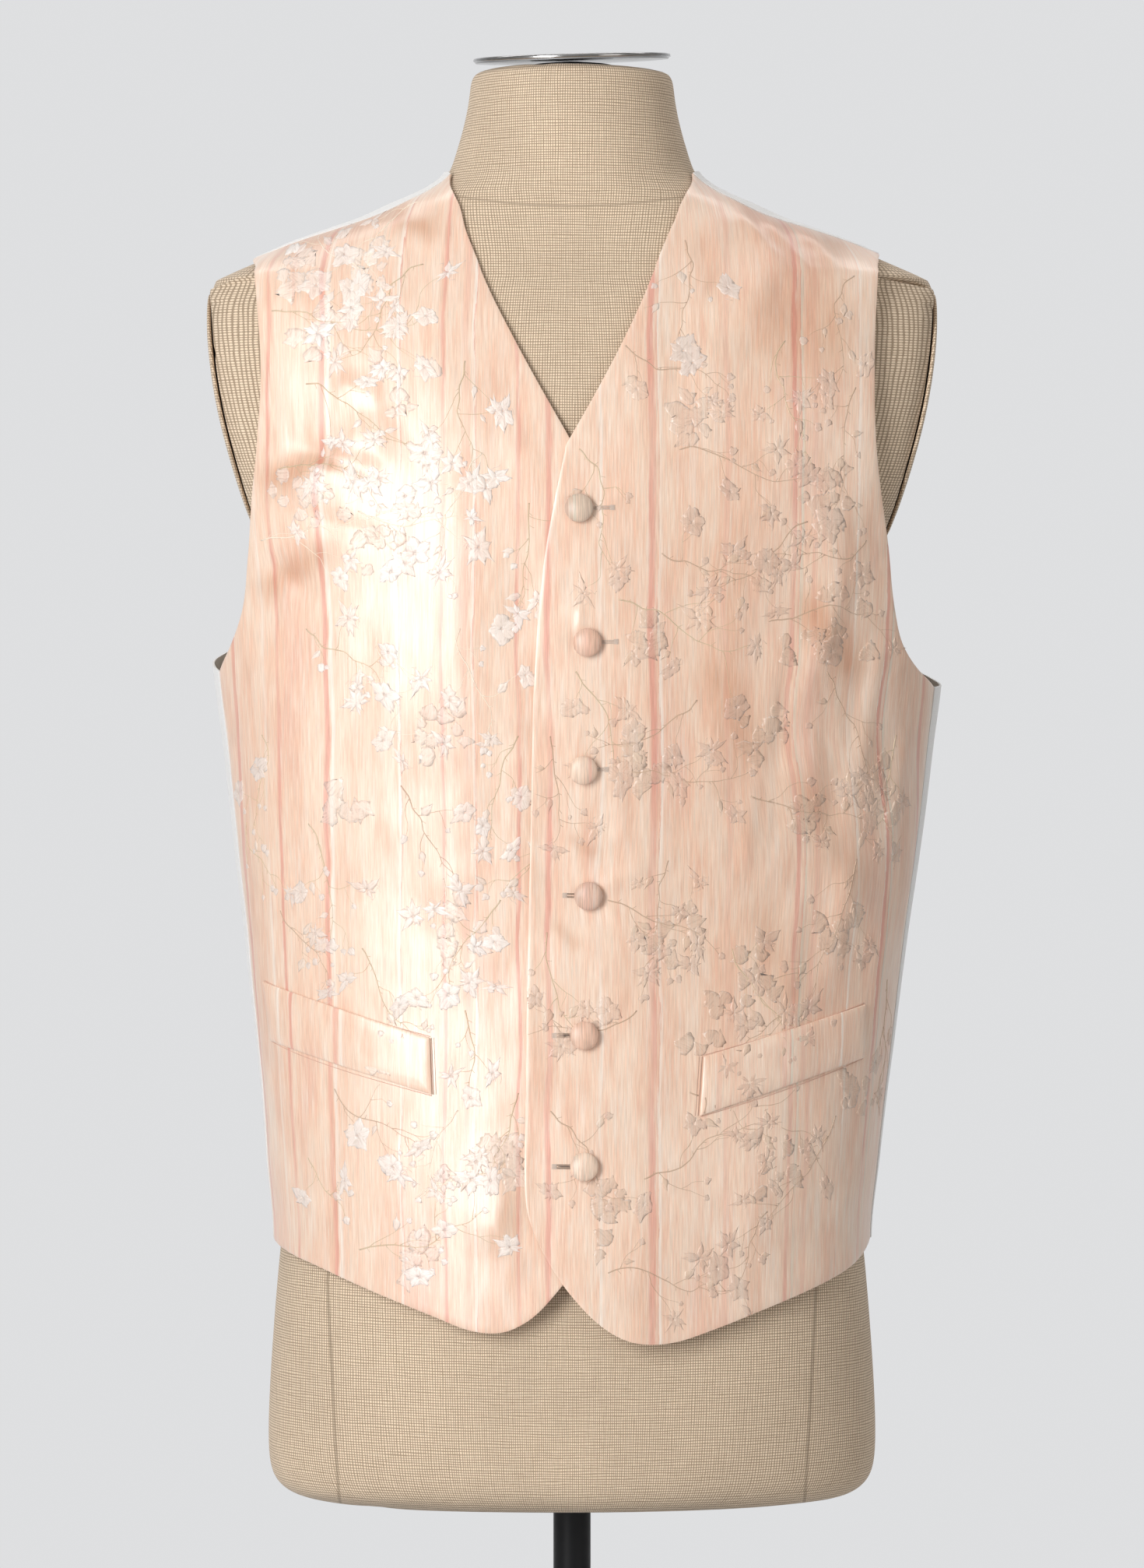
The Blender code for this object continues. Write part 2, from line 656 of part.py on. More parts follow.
# A quarter of the way up, the rows keep the straight run between the underarms
upper = coons(on_cloth(across_back), upper_top, upper_start, upper_end, 0.25)
upper[1:-1, 1:-1] = onto_surface(upper[1:-1, 1:-1])
outer = np.zeros((side_rows_seam + back_rows_armhole + 1, back_columns + 1, 3))
outer[:side_rows_seam + 1] = lower
outer[side_rows_seam:, back_columns_under:-back_columns_under] = upper
active = np.ones((outer.shape[0] - 1, back_columns), bool)
active[side_rows_seam:, :back_columns_under] = False
active[side_rows_seam:, -back_columns_under:] = False
outer[side_rows_seam + 1:, :back_columns_under] = outer[0, 0]
outer[side_rows_seam + 1:, -back_columns_under:] = outer[0, 0]
outward = surface_slope(outer)
inner = outer - back_wall * outward / np.linalg.norm(outward, axis=-1, keepdims=True)


def pull_back_panel(grid):
    # The back's seam edges move back too: its two side seams, then its two shoulder seams
    grid = grid.copy()
    rows = slice(0, side_rows_seam + 1)
    for column, step in ((0, 1), (-1, -1)):
        away = grid[rows, column + step] - grid[rows, column]
        pull = away / np.linalg.norm(away, axis=-1, keepdims=True) * seam_gap / 2
        grid[rows, column] += pull
    first = back_columns_under
    last = first + upper_columns + 1
    seam_points = back_columns_shoulder + 1
    for columns in (slice(first, first + seam_points), slice(last - seam_points, last)):
        away = grid[-2, columns] - grid[-1, columns]
        pull = away / np.linalg.norm(away, axis=-1, keepdims=True) * seam_gap / 2
        grid[-1, columns] += pull
    return grid


add_solid("back", *shell_faces(pull_back_panel(outer), pull_back_panel(inner), active), satin_back)


# Pocket welts, made from the fronts' own surface moved out
def add_welt(name, corners, lifted):
    top_out, top_in, low_in, low_out = [np.array(corner, float) for corner in corners]
    across = even(welt_columns)[None, :, None]
    rise = even(welt_rows)[:, None, None]
    plan = (1 - rise) * ((1 - across) * low_in + across * low_out)
    plan = plan + rise * ((1 - across) * top_in + across * top_out)
    turn = turn_of(plan[..., 0], plan[..., 1])
    low = front_surface(turn, plan[..., 1], layer_gap, lifted)
    high = front_surface(turn, plan[..., 1], layer_gap + welt_wall, lifted)
    add_solid(name, *shell_faces(high, low), satin_front)


add_welt("welt_left", welt_left_corners, True)
add_welt("welt_right", welt_right_corners, False)

# Covered buttons, seated on the top layer: a shank, the gathered rim and the dome
button_sides = 12
button_profile = (
    (2.6, 0.0), (2.6, 1.2), (7.0, 1.3), (button_radius, 2.6), (7.4, 4.3),
    (5.4, 5.7), (2.8, button_height - 0.25),
)
for number, (x, z) in enumerate(button_places, 1):
    turn = turn_of(x, z)
    seat = front_surface(np.array([turn]), np.array([z]), layer_gap, True)[0]
    normal = cloth_normal(np.array([turn]), np.array([z]))[0]
    points, faces = turned_solid(button_profile, seat, normal, button_sides)
    points[-1] = seat + normal * button_height
    add_solid("button_%d" % number, points, faces, button_cloth)


# Dress form, with a flat at each shoulder end for its arm plate
def form_ring(z):
    half = float(form_table["half"](z))
    front = float(form_table["front"](z))
    back = float(form_table["back"](z))
    power = float(form_table["power"](z))
    plate = math.inf
    if plate_low_z < z < plate_high_z:
        plate = float(plate_table["out"](z)) - plate_wall - seam_gap
    narrowest = 0.1
    inside = max(1 - (min(plate / half, 1.0)) ** power, 0.0) ** (1 / power)
    has_flat = plate < half and inside > narrowest
    flat_front, flat_back = (math.radians(turn) for turn in form_flat_turns)
    if has_flat:
        flat_front = math.atan2(plate, front * inside)
        flat_back = math.pi - math.atan2(plate, back * inside)
    quarter = (form_columns // 2 - form_flat_columns) // 2
    turns = np.concatenate([
        np.linspace(0, flat_front, quarter + 1),
        np.linspace(flat_front, flat_back, form_flat_columns + 1)[1:-1],
        np.linspace(flat_back, math.pi, quarter + 1),
    ])
    ring = section_point(half, half, front, back, power, turns, np.full(len(turns), z))
    ring[:, 0] = np.minimum(ring[:, 0], plate)
    if has_flat:
        span = slice(quarter, len(turns) - quarter)
        ring[span, 0] = plate
        ring[span, 1] = np.linspace(-front * inside, back * inside, form_flat_columns + 1)
    mirrored = ring[1:-1][::-1] * np.array([-1, 1, 1])
    return np.vstack([ring, mirrored])


form_levels = (
    200.0, 202.5, 208.0, 217.0, 235.0, 270.0, 333.0, 380.0, 430.0, 480.0, 530.0, 570.0, 610.0,
    650.0, 690.0, 718.0, 740.0, 758.0, 776.0, 797.0, 819.0, 840.0, 858.0, 874.0, 886.0, 895.0,
    901.0, 906.5, 912.5, 920.0, 928.0, 935.6, 943.0, 949.0, 955.4, 962.0, 974.0, 990.0, 1005.0,
    1014.0, 1019.0, 1022.0,
)
rings = [form_ring(z) for z in form_levels]
points, faces = rings_faces(rings, (0, 0, form_levels[0]), (0, 0, form_levels[-1]))
add_solid("form_torso", points, faces, linen)


# Arm plates: ovals that close the shoulder ends
def plate_outline(scale):
    outline = []
    for k in range(plate_points):
        turn = 2 * math.pi * k / plate_points
        z = plate_centre_z + plate_reach_z * math.sin(turn)
        half = float(form_table["half"](z))
        power = float(form_table["power"](z))
        flat = float(plate_table["out"](z)) - plate_wall - seam_gap
        depth = float(form_table["front" if math.cos(turn) < 0 else "back"](z))
        inside = max(1 - min(flat / half, 1.0) ** power, 0.0) ** (1 / power)
        inside = min(inside, abs(math.cos(turn)) * plate_breadth_share)
        y = math.copysign(depth * inside, math.cos(turn))
        outline.append((y * scale, plate_centre_z + (z - plate_centre_z) * scale))
    return outline


def plate_ring(side, scale, out):
    ring = []
    for y, z in plate_outline(scale):
        flat = float(plate_table["out"](z)) - plate_wall
        ring.append((side * (flat + out), y, z))
    return np.array(ring)


# From the middle of the inner face out to the rim and back over the slightly domed outer face
plate_dome = 0.8
plate_steps = (
    (0.25, 0.0), (0.5, 0.0), (0.75, 0.0), (0.96, 0.0), (0.98, 1.2),
    (0.93, plate_wall), (0.6, plate_wall + 0.4), (0.3, plate_wall + 0.7),
)
plate_middle = float(plate_table["out"](plate_centre_z)) - plate_wall
for name, side in (("arm_plate_left", 1), ("arm_plate_right", -1)):
    rings = [plate_ring(side, scale, out) for scale, out in plate_steps]
    low = (side * plate_middle, 0, plate_centre_z)
    high = (side * (plate_middle + plate_wall + plate_dome), 0, plate_centre_z)
    points, faces = rings_faces(rings, low, high)
    add_solid(name, points, faces, linen)

# Neck fitting: a dark stub and a polished disc that sits slightly askew
disc_axis = np.array([
    math.sin(math.radians(disc_lean_sideways)), -math.sin(math.radians(disc_lean_forward)), 1.0,
])
# The stub narrows to a boss that just clears the leaning disc
boss_radius = 9.0
boss_drop = 0.95
shoulder_drop = 2.6
stub = (
    (stub_radius, stub_low), (stub_radius, stub_top - shoulder_drop),
    (boss_radius, stub_top - boss_drop),
)
points, faces = turned_solid(stub, (0, 0, 0), (0, 0, 1), 20)
add_solid("neck_stem", points, faces, dark_fitting)
disc_rim = 0.8
disc_rim_height = 0.7
disc = (
    (disc_radius - disc_rim, 0.0), (disc_radius, disc_rim_height),
    (disc_radius, disc_wall - disc_rim_height), (disc_radius - disc_rim, disc_wall),
)
points, faces = turned_solid(disc, (0, 0, stub_top), disc_axis, 40)
add_solid("neck_disc", points, faces, polished_disc)

# Pole and base
pole = ((pole_radius, base_height + touch_gap), (pole_radius, form_levels[0] - touch_gap))
points, faces = turned_solid(pole, (0, 0, 0), (0, 0, 1), 20)
add_solid("pole", points, faces, black_paint)
base_foot = 1.0
base_bevel = 3.0
base = (
    (base_radius - base_foot, 0.0), (base_radius, base_foot),
    (base_radius, base_height - base_bevel), (base_radius - base_bevel, base_height),
)
points, faces = turned_solid(base, (0, 0, 0), (0, 0, 1), 48)
add_solid("base", points, faces, black_paint)
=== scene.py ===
# The looks of a gilet (tailored waistcoat) on the limbless dress form it rests on.
# Garment tables are in millimetres, as a tailor measures, and the meshes are made in metres.
# The front faces -Y, +X is the wearer's left, and the base stands on z = 0.
import math
import random

import bpy
import numpy as np
from mathutils import Matrix, Vector


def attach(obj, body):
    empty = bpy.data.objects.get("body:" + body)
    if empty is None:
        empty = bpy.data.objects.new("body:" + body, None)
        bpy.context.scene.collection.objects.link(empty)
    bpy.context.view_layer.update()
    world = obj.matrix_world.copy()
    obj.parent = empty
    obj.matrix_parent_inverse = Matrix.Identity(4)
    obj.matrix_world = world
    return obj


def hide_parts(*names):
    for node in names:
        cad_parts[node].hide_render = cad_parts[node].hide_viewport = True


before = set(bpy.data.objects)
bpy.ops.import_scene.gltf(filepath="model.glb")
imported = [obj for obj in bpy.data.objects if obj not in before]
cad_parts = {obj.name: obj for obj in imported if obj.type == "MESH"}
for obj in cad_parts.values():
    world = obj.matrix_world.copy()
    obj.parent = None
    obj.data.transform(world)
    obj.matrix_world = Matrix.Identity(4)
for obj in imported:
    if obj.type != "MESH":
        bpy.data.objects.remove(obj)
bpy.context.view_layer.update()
print("frame loaded,", len(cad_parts), "nodes")

mm = 0.001

studio = {
    "cameraPlace": (0.0, -3.6, 0.6726),
    "cameraPitch": 0.98,  # degrees below level
    "lens": 143.0,  # mm, on a 36 mm high frame
    "sweepHalfWidth": 5.0,
    "sweepFront": -4.8,
    "sweepBack": 2.6,
    "sweepHeight": 4.4,
    "sweepBend": 1.5,
    "sweepColor": (0.71, 0.72, 0.735),
    "sweepDrop": 0.005,  # m below the floor that shows
    "backdropColor": (0.735, 0.74, 0.75),
    "floorWhole": 0.3,  # m from the middle, where the floor starts to fade into the backdrop
    "floorRadius": 1.15,  # short of where the sweep bends up
    "worldColor": (1.0, 0.96, 0.91),
    "worldStrength": 0.30,
}

# Soft lights: name, place, aim, width and height of the panel, watts, colour
studioLights = (
    ("key_left", (-1.36, -2.22, 1.12), (-0.02, 0.0, 0.62), 0.8, 1.7, 53.0, (1.0, 1.0, 1.0)),
    ("fill_right", (2.1, -2.0, 1.0), (0.0, 0.0, 0.6), 1.2, 1.6, 8.0, (1.0, 0.95, 0.90)),
    ("top_soft", (0.1, -0.6, 2.5), (0.0, 0.0, 0.7), 1.6, 1.2, 4.0, (1.0, 1.0, 1.0)),
    ("sweep_wash", (0.0, 0.75, 2.7), (0.0, 2.5, 0.45), 3.4, 0.8, 38.0, (1.0, 1.0, 1.0)),
)


def makeActive(piece):
    bpy.ops.object.select_all(action="DESELECT")
    piece.select_set(True)
    bpy.context.view_layer.objects.active = piece


def pickParts(piece, kind, isWanted):
    # Selects the vertices, edges or faces whose middle passes the test, ready for an edit-mode step
    bpy.ops.object.mode_set(mode="OBJECT")
    mesh = piece.data
    for part in list(mesh.vertices) + list(mesh.edges) + list(mesh.polygons):
        part.select = False
    points = [vertex.co for vertex in mesh.vertices]
    for part in getattr(mesh, kind):
        corners = [points[part.index]] if kind == "vertices" else [points[i] for i in part.vertices]
        middle = sum(corners, Vector()) / len(corners)
        part.select = isWanted(middle)
    bpy.ops.object.mode_set(mode="EDIT")


def paperMaterial(name):
    paper = bpy.data.materials.new(name)
    paper.use_nodes = True
    shader = paper.node_tree.nodes["Principled BSDF"]
    shader.inputs["Base Color"].default_value = (*studio["sweepColor"], 1)
    shader.inputs["Roughness"].default_value = 0.95
    shader.inputs["Specular IOR Level"].default_value = 0.1
    return paper


def addSweep():
    bpy.ops.object.select_all(action="DESELECT")
    back = studio["sweepBack"]
    depth = back - studio["sweepFront"]
    bpy.ops.mesh.primitive_plane_add(size=1.0, location=(0, 0, 0))
    sweep = bpy.context.object
    sweep.name = "studio_sweep"
    bpy.ops.object.mode_set(mode="EDIT")
    bpy.ops.mesh.select_all(action="SELECT")
    bpy.ops.transform.resize(value=(2 * studio["sweepHalfWidth"], depth, 1))
    bpy.ops.transform.translate(value=(0, studio["sweepFront"] + depth / 2, -studio["sweepDrop"]))
    bpy.ops.mesh.select_mode(type="EDGE")
    pickParts(sweep, "edges", lambda middle: middle.y > back - 0.01)
    bpy.ops.mesh.extrude_region_move(TRANSFORM_OT_translate={"value": (0, 0, studio["sweepHeight"])})
    pickParts(sweep, "edges", lambda middle: middle.y > back - 0.01 and middle.z < 0.01)
    bpy.ops.mesh.bevel(offset=studio["sweepBend"], segments=32, affect="EDGES")
    bpy.ops.mesh.select_all(action="SELECT")
    bpy.ops.mesh.normals_make_consistent(inside=True)
    bpy.ops.object.mode_set(mode="OBJECT")
    bpy.ops.object.shade_smooth()
    sweep.data.materials.append(paperMaterial("paper_sweep"))
    # It only bounces light, so that it never stands before a lens behind it
    sweep.visible_camera = False


def addFloor():
    # A pale disc that fades into the backdrop, so that it shows no edge from any side
    bpy.ops.object.select_all(action="DESELECT")
    bpy.ops.mesh.primitive_circle_add(vertices=128, radius=studio["floorRadius"], fill_type="NGON")
    floor = bpy.context.object
    floor.name = "studio_floor"
    paper = paperMaterial("paper_floor")
    nodes, links = paper.node_tree.nodes, paper.node_tree.links
    away = nodes.new("ShaderNodeVectorMath")
    away.operation = "LENGTH"
    fade = nodes.new("ShaderNodeMapRange")
    fade.interpolation_type = "SMOOTHSTEP"
    limits = {
        "From Min": studio["floorWhole"], "From Max": studio["floorRadius"],
        "To Min": 1.0, "To Max": 0.0,
    }
    for name, value in limits.items():
        fade.inputs[name].default_value = value
    links.new(nodes.new("ShaderNodeTexCoord").outputs["Object"], away.inputs[0])
    links.new(away.outputs["Value"], fade.inputs["Value"])
    links.new(fade.outputs["Result"], nodes["Principled BSDF"].inputs["Alpha"])
    floor.data.materials.append(paper)


def addCameraAndLights():
    lens = bpy.data.cameras.new("photo_camera")
    lens.sensor_fit = "VERTICAL"
    lens.sensor_height = 36.0
    lens.lens = studio["lens"]
    lens.clip_end = 60.0
    camera = bpy.data.objects.new("photo_camera", lens)
    bpy.context.scene.collection.objects.link(camera)
    camera.location = studio["cameraPlace"]
    camera.rotation_euler = (math.radians(90.0 - studio["cameraPitch"]), 0, 0)
    bpy.context.scene.camera = camera
    for name, place, aim, width, height, watts, color in studioLights:
        panel = bpy.data.lights.new(name, "AREA")
        panel.shape = "RECTANGLE"
        panel.size = width
        panel.size_y = height
        panel.energy = watts
        panel.color = color
        light = bpy.data.objects.new(name, panel)
        bpy.context.scene.collection.objects.link(light)
        light.location = place
        light.visible_camera = False
        light.rotation_euler = (Vector(aim) - Vector(place)).to_track_quat("-Z", "Y").to_euler()
    world = bpy.data.worlds.new("studio_air")
    world.use_nodes = True
    nodes, links = world.node_tree.nodes, world.node_tree.links
    sky = nodes["Background"]
    sky.inputs["Color"].default_value = (*studio["worldColor"], 1)
    sky.inputs["Strength"].default_value = studio["worldStrength"]
    backdrop = nodes.new("ShaderNodeBackground")
    backdrop.inputs["Color"].default_value = (*studio["backdropColor"], 1)
    blend = nodes.new("ShaderNodeMixShader")
    links.new(nodes.new("ShaderNodeLightPath").outputs["Is Camera Ray"], blend.inputs["Fac"])
    links.new(sky.outputs["Background"], blend.inputs[1])
    links.new(backdrop.outputs["Background"], blend.inputs[2])
    links.new(blend.outputs["Shader"], nodes["World Output"].inputs["Surface"])
    bpy.context.scene.world = world
    bpy.context.scene.view_settings.view_transform = "Standard"


addCameraAndLights()
addSweep()
addFloor()
print("studio ready")

# The garment's form, the same one that the solids have.
# Outer face: half width on the wearer's left and right, depth to the front and back, roundness.
clothNames = ("z", "left", "right", "front", "back", "power")
clothRows = (
    (290.0, 175.0, 175.0, 127.0, 114.5, 2.1),
    (350.0, 173.4, 173.2, 125.6, 114.0, 2.1),
    (395.0, 178.0, 177.0, 121.8, 111.4, 2.1),
    (430.0, 182.0, 179.5, 118.8, 109.8, 2.1),
    (460.0, 186.0, 182.5, 116.4, 109.2, 2.1),
    (500.0, 191.0, 187.0, 114.2, 109.0, 2.1),
    (530.0, 195.0, 190.0, 113.4, 109.4, 2.1),
    (567.0, 200.5, 194.5, 114.0, 110.8, 2.1),
    (600.0, 205.0, 198.0, 116.0, 112.4, 2.1),
    (634.0, 209.0, 201.8, 119.0, 114.0, 2.1),
    (670.0, 213.6, 206.5, 122.0, 115.2, 2.1),
    (700.0, 215.8, 209.5, 122.8, 115.8, 2.12),
    (745.0, 217.5, 213.5, 122.4, 116.0, 2.16),
    (769.0, 218.6, 215.8, 120.4, 115.8, 2.24),
    (797.0, 220.4, 219.0, 116.4, 115.0, 2.34),
    (819.0, 222.0, 221.4, 112.0, 113.4, 2.42),
    (847.0, 223.8, 223.6, 104.8, 109.8, 2.46),
    (869.0, 224.0, 224.0, 97.8, 105.4, 2.48),
    (885.0, 222.4, 222.4, 91.8, 100.8, 2.5),
    (895.0, 219.0, 219.0, 87.2, 96.8, 2.5),
    (903.0, 212.0, 212.0, 83.2, 93.0, 2.48),
    (908.0, 201.0, 201.0, 80.4, 90.4, 2.45),
    (915.4, 180.8, 180.8, 77.4, 87.4, 2.4),
    (922.4, 165.0, 165.0, 75.0, 84.4, 2.35),
    (930.2, 143.6, 143.6, 73.0, 81.6, 2.3),
    (937.6, 122.4, 122.4, 71.4, 79.0, 2.25),
    (945.0, 106.4, 106.4, 70.0, 76.4, 2.2),
    (951.0, 92.4, 92.4, 69.0, 74.4, 2.15),
    (957.4, 80.6, 80.6, 68.0, 72.6, 2.1),
    (963.4, 74.2, 74.2, 67.2, 71.2, 2.06),
    (976.0, 70.4, 70.4, 65.6, 68.6, 2.0),
    (990.0, 66.0, 66.0, 63.6, 65.0, 2.0),
)

garment = {
    "frontWall": 1.6,
    "backWall": 1.2,
    "weltWall": 1.5,
    "seamGap": 0.4,
    "layerGap": 0.4,
    "overlapGap": 0.8,
    "overlapFrom": 34.0,
    "overlapUntil": 62.0,
    "sideTurnTop": 82.0,
    "sideTurnHem": 84.6,
    "hemZ": 350.0,
    "edgeRoll": 0.3,  # how far the cloth sinks at a turned edge
    "edgeRollWidth": 2.2,
    "frontRim": 0.45,  # how round the turned edges are
    "otherRim": 0.4,
}

# Main folds, as the solids have them: start, end, half breadth, height out of the cloth
mainFolds = (
    (152.0, 800.0, 128.0, 560.0, 15.0, 3.2),
    (96.0, 760.0, 84.0, 590.0, 15.0, 2.2),
    (166.0, 660.0, 150.0, 500.0, 13.0, 2.0),
    (120.0, 925.0, 96.0, 860.0, 12.0, 2.4),
    (-172.0, 770.0, -92.0, 815.0, 15.0, 3.0),
    (-60.0, 800.0, -66.0, 520.0, 20.0, 2.6),
    (-158.0, 690.0, -140.0, 560.0, 16.0, 2.0),
    (-44.0, 420.0, -40.0, 345.0, 16.0, 2.4),
)

# Smaller creases; a negative height is a trough
smallCreases = (
    (156.0, 742.0, 118.0, 636.0, 7.0, 2.0),
    (178.0, 706.0, 158.0, 604.0, 5.5, 1.8),
    (192.0, 655.0, 176.0, 560.0, 5.0, 1.5),
    (139.0, 668.0, 150.0, 570.0, 6.0, -1.3),
    (120.0, 704.0, 100.0, 612.0, 7.0, 1.7),
    (104.0, 632.0, 94.0, 548.0, 5.0, 1.3),
    (158.0, 575.0, 142.0, 486.0, 7.0, 1.6),
    (179.0, 548.0, 166.0, 440.0, 6.0, 1.3),
    (130.0, 560.0, 118.0, 480.0, 8.0, 1.4),
    (118.0, 688.0, 114.0, 560.0, 2.6, -0.7),
    (92.0, 943.0, 118.0, 905.0, 4.0, 0.9),
    (108.0, 938.0, 138.0, 896.0, 4.0, 0.9),
    (128.0, 932.0, 154.0, 902.0, 3.5, 0.6),
    (78.0, 938.0, 92.0, 880.0, 6.0, 0.8),
    (13.0, 553.0, 46.0, 570.0, 4.5, 1.1),
    (13.0, 546.0, 42.0, 526.0, 4.5, 0.9),
    (30.0, 575.0, 24.0, 610.0, 6.0, 0.9),
    (5.0, 713.0, 4.0, 697.0, 2.6, 1.0),
    (14.0, 690.0, 38.0, 676.0, 4.0, 0.6),
    (12.0, 764.0, 34.0, 778.0, 4.5, 0.6),
    (-164.0, 806.0, -98.0, 784.0, 7.0, -2.6),
    (-178.0, 744.0, -142.0, 716.0, 7.0, -2.4),
    (-170.0, 770.0, -98.0, 748.0, 6.0, -2.0),
    (-136.0, 840.0, -104.0, 828.0, 6.0, 1.3),
    (-120.0, 928.0, -92.0, 880.0, 7.0, 1.0),
    (-150.0, 912.0, -128.0, 870.0, 6.0, 0.7),
    (-100.0, 724.0, -104.0, 560.0, 10.0, 0.9),
    (-122.0, 640.0, -118.0, 480.0, 9.0, 0.8),
    (-30.0, 700.0, -33.0, 520.0, 9.0, 0.8),
    (-82.0, 560.0, -88.0, 440.0, 10.0, -0.8),
    (-150.0, 600.0, -142.0, 500.0, 8.0, 0.7),
    (-20.0, 404.0, -52.0, 352.0, 8.0, 0.9),
    (-72.0, 430.0, -70.0, 350.0, 9.0, 0.8),
    (60.0, 430.0, 66.0, 340.0, 9.0, 0.8),
    (104.0, 420.0, 98.0, 345.0, 8.0, 0.7),
    (28.0, 470.0, 52.0, 452.0, 6.0, 0.6),
)

# Painted shade laid into the satin's colour, where folds, the shoulders and the sides fall in shadow: start,
# end, half breadth, strength
paintedShadeRows = (
    (-184.0, 780.0, -118.0, 801.0, 8.0, 0.95),
    (-184.0, 716.0, -126.0, 752.0, 9.0, 0.85),
    (-112.0, 940.0, -76.0, 924.0, 6.0, 0.7),
    (-168.0, 930.0, -150.0, 880.0, 8.0, 0.4),
    (124.0, 726.0, 168.0, 664.0, 10.0, 0.75),
    (162.0, 660.0, 180.0, 596.0, 6.0, 0.45),
    (72.0, 694.0, 110.0, 614.0, 11.0, 0.5),
    (124.0, 626.0, 168.0, 542.0, 12.0, 0.6),
    (100.0, 560.0, 128.0, 470.0, 10.0, 0.45),
    (-4.0, 586.0, 16.0, 571.0, 4.0, 0.55),
    (-14.0, 538.0, 8.0, 518.0, 4.0, 0.55),
    (-19.0, 610.0, -22.0, 380.0, 4.5, 0.35),
    (-40.0, 420.0, -36.0, 320.0, 9.0, 0.45),
    (66.0, 936.0, 86.0, 880.0, 8.0, 0.5),
    (90.0, 944.0, 160.0, 916.0, 6.0, 0.4),
    (150.0, 900.0, 158.0, 800.0, 12.0, 0.3),
    (80.0, 950.0, 172.0, 912.0, 24.0, 1.0),
    (84.0, 880.0, 166.0, 862.0, 30.0, 0.6),
    (104.0, 850.0, 104.0, 400.0, 60.0, 0.3),
    (-84.0, 948.0, -172.0, 914.0, 13.0, 0.95),
    (-84.0, 950.0, -76.0, 915.0, 9.0, 0.5),
    (-176.0, 690.0, -182.0, 400.0, 8.0, 0.25),
)

# Outlines seen from the front, x and z; shoulders are x and y over the ridge
frontCuts = {
    "left": {
        "side": 1,
        "underZ": 667.0,
        "lifted": True,
        "edgeRows": 20,
        "neckRows": 10,
        "armhole": ((197.0, 678.0), (188.0, 692.0), (183.2, 713.0), (179.8, 745.0),
                    (174.4, 782.0), (171.4, 815.0), (171.2, 850.0), (172.8, 886.0),
                    (174.2, 903.0), (175.0, 911.0)),
        "hem": ((160.5, 337.5), (147.0, 331.0), (104.0, 315.5), (81.0, 307.5), (60.0, 301.0),
                (46.5, 299.6), (34.0, 300.9), (24.0, 305.0), (13.5, 312.5), (4.5, 321.5),
                (-5.2, 333.5), (-14.8, 348.5), (-20.4, 360.5)),
        "edge": ((-24.6, 372.0), (-26.3, 392.0), (-26.0, 440.0), (-24.9, 511.0), (-22.8, 600.0),
                 (-20.6, 680.0), (-16.6, 730.0), (-9.6, 772.0), (-4.6, 796.0)),
        "point": (-3.4, 802.5),
        "neck": ((7.9, 822.0), (25.4, 854.5), (44.6, 897.0), (57.5, 930.0), (64.0, 946.0)),
        "shoulder": ((69.6, -27.0), (82.0, -33.0), (101.0, -36.0), (121.0, -35.0),
                     (141.0, -31.0), (158.5, -27.0), (175.6, -22.0)),
    },
    "right": {
        "side": -1,
        "underZ": 676.0,
        "lifted": False,
        "edgeRows": 19,
        "neckRows": 11,
        "armhole": ((-195.5, 690.0), (-188.0, 710.0), (-184.4, 740.0), (-182.0, 772.0),
                    (-178.4, 806.0), (-176.4, 837.0), (-177.6, 870.0), (-180.0, 895.0), (-180.6, 906.0)),
        "hem": ((-158.0, 343.0), (-145.0, 339.0), (-113.0, 327.0), (-79.6, 315.0),
                (-59.4, 307.6), (-47.8, 305.8), (-37.8, 306.6), (-27.6, 311.0), (-19.0, 317.4),
                (-5.2, 333.0), (5.0, 347.0), (11.0, 358.0)),
        "edge": ((15.6, 372.0), (18.6, 395.0), (20.0, 440.0), (20.5, 511.0), (20.5, 600.0),
                 (20.5, 680.0), (20.0, 735.0)),
        "point": (18.6, 762.0),
        "neck": ((8.5, 788.0), (-2.6, 809.0), (-28.0, 854.5), (-42.7, 883.0), (-58.0, 920.0), (-65.0, 943.0)),
        "shoulder": ((-69.8, -27.0), (-82.0, -33.0), (-101.0, -36.0), (-121.0, -35.0),
                     (-143.0, -31.0), (-162.0, -27.0), (-181.0, -22.0)),
    },
}

# Back armholes: under the arm as turn and z, up the back as x and z, over the ridge as x and y
backCut = {
    "underLeft": ((90.0, 668.5), (98.0, 673.0), (104.0, 680.0)),
    "armholeLeft": ((190.5, 691.0), (185.0, 708.0), (182.0, 728.0), (179.2, 750.0),
                    (174.2, 785.0), (171.4, 818.0), (171.8, 850.0), (174.2, 880.0),
                    (176.0, 898.0), (177.2, 908.0)),
    "tipLeft": ((177.6, 34.0), (177.0, 12.0), (176.4, -8.0)),
    "underRight": ((-90.0, 681.5), (-98.0, 686.5), (-104.0, 693.0)),
    "armholeRight": ((-188.5, 704.0), (-185.2, 722.0), (-184.2, 744.0), (-181.8, 774.0),
                     (-178.2, 807.0), (-177.0, 838.0), (-178.8, 868.0), (-181.6, 892.0), (-182.2, 904.0)),
    "tipRight": ((-182.2, 38.0), (-182.4, 14.0), (-181.8, -8.0)),
    "neck": ((79.0, 961.0), (90.0, 963.5), (118.0, 968.5), (148.0, 971.5), (180.0, 973.0)),
}

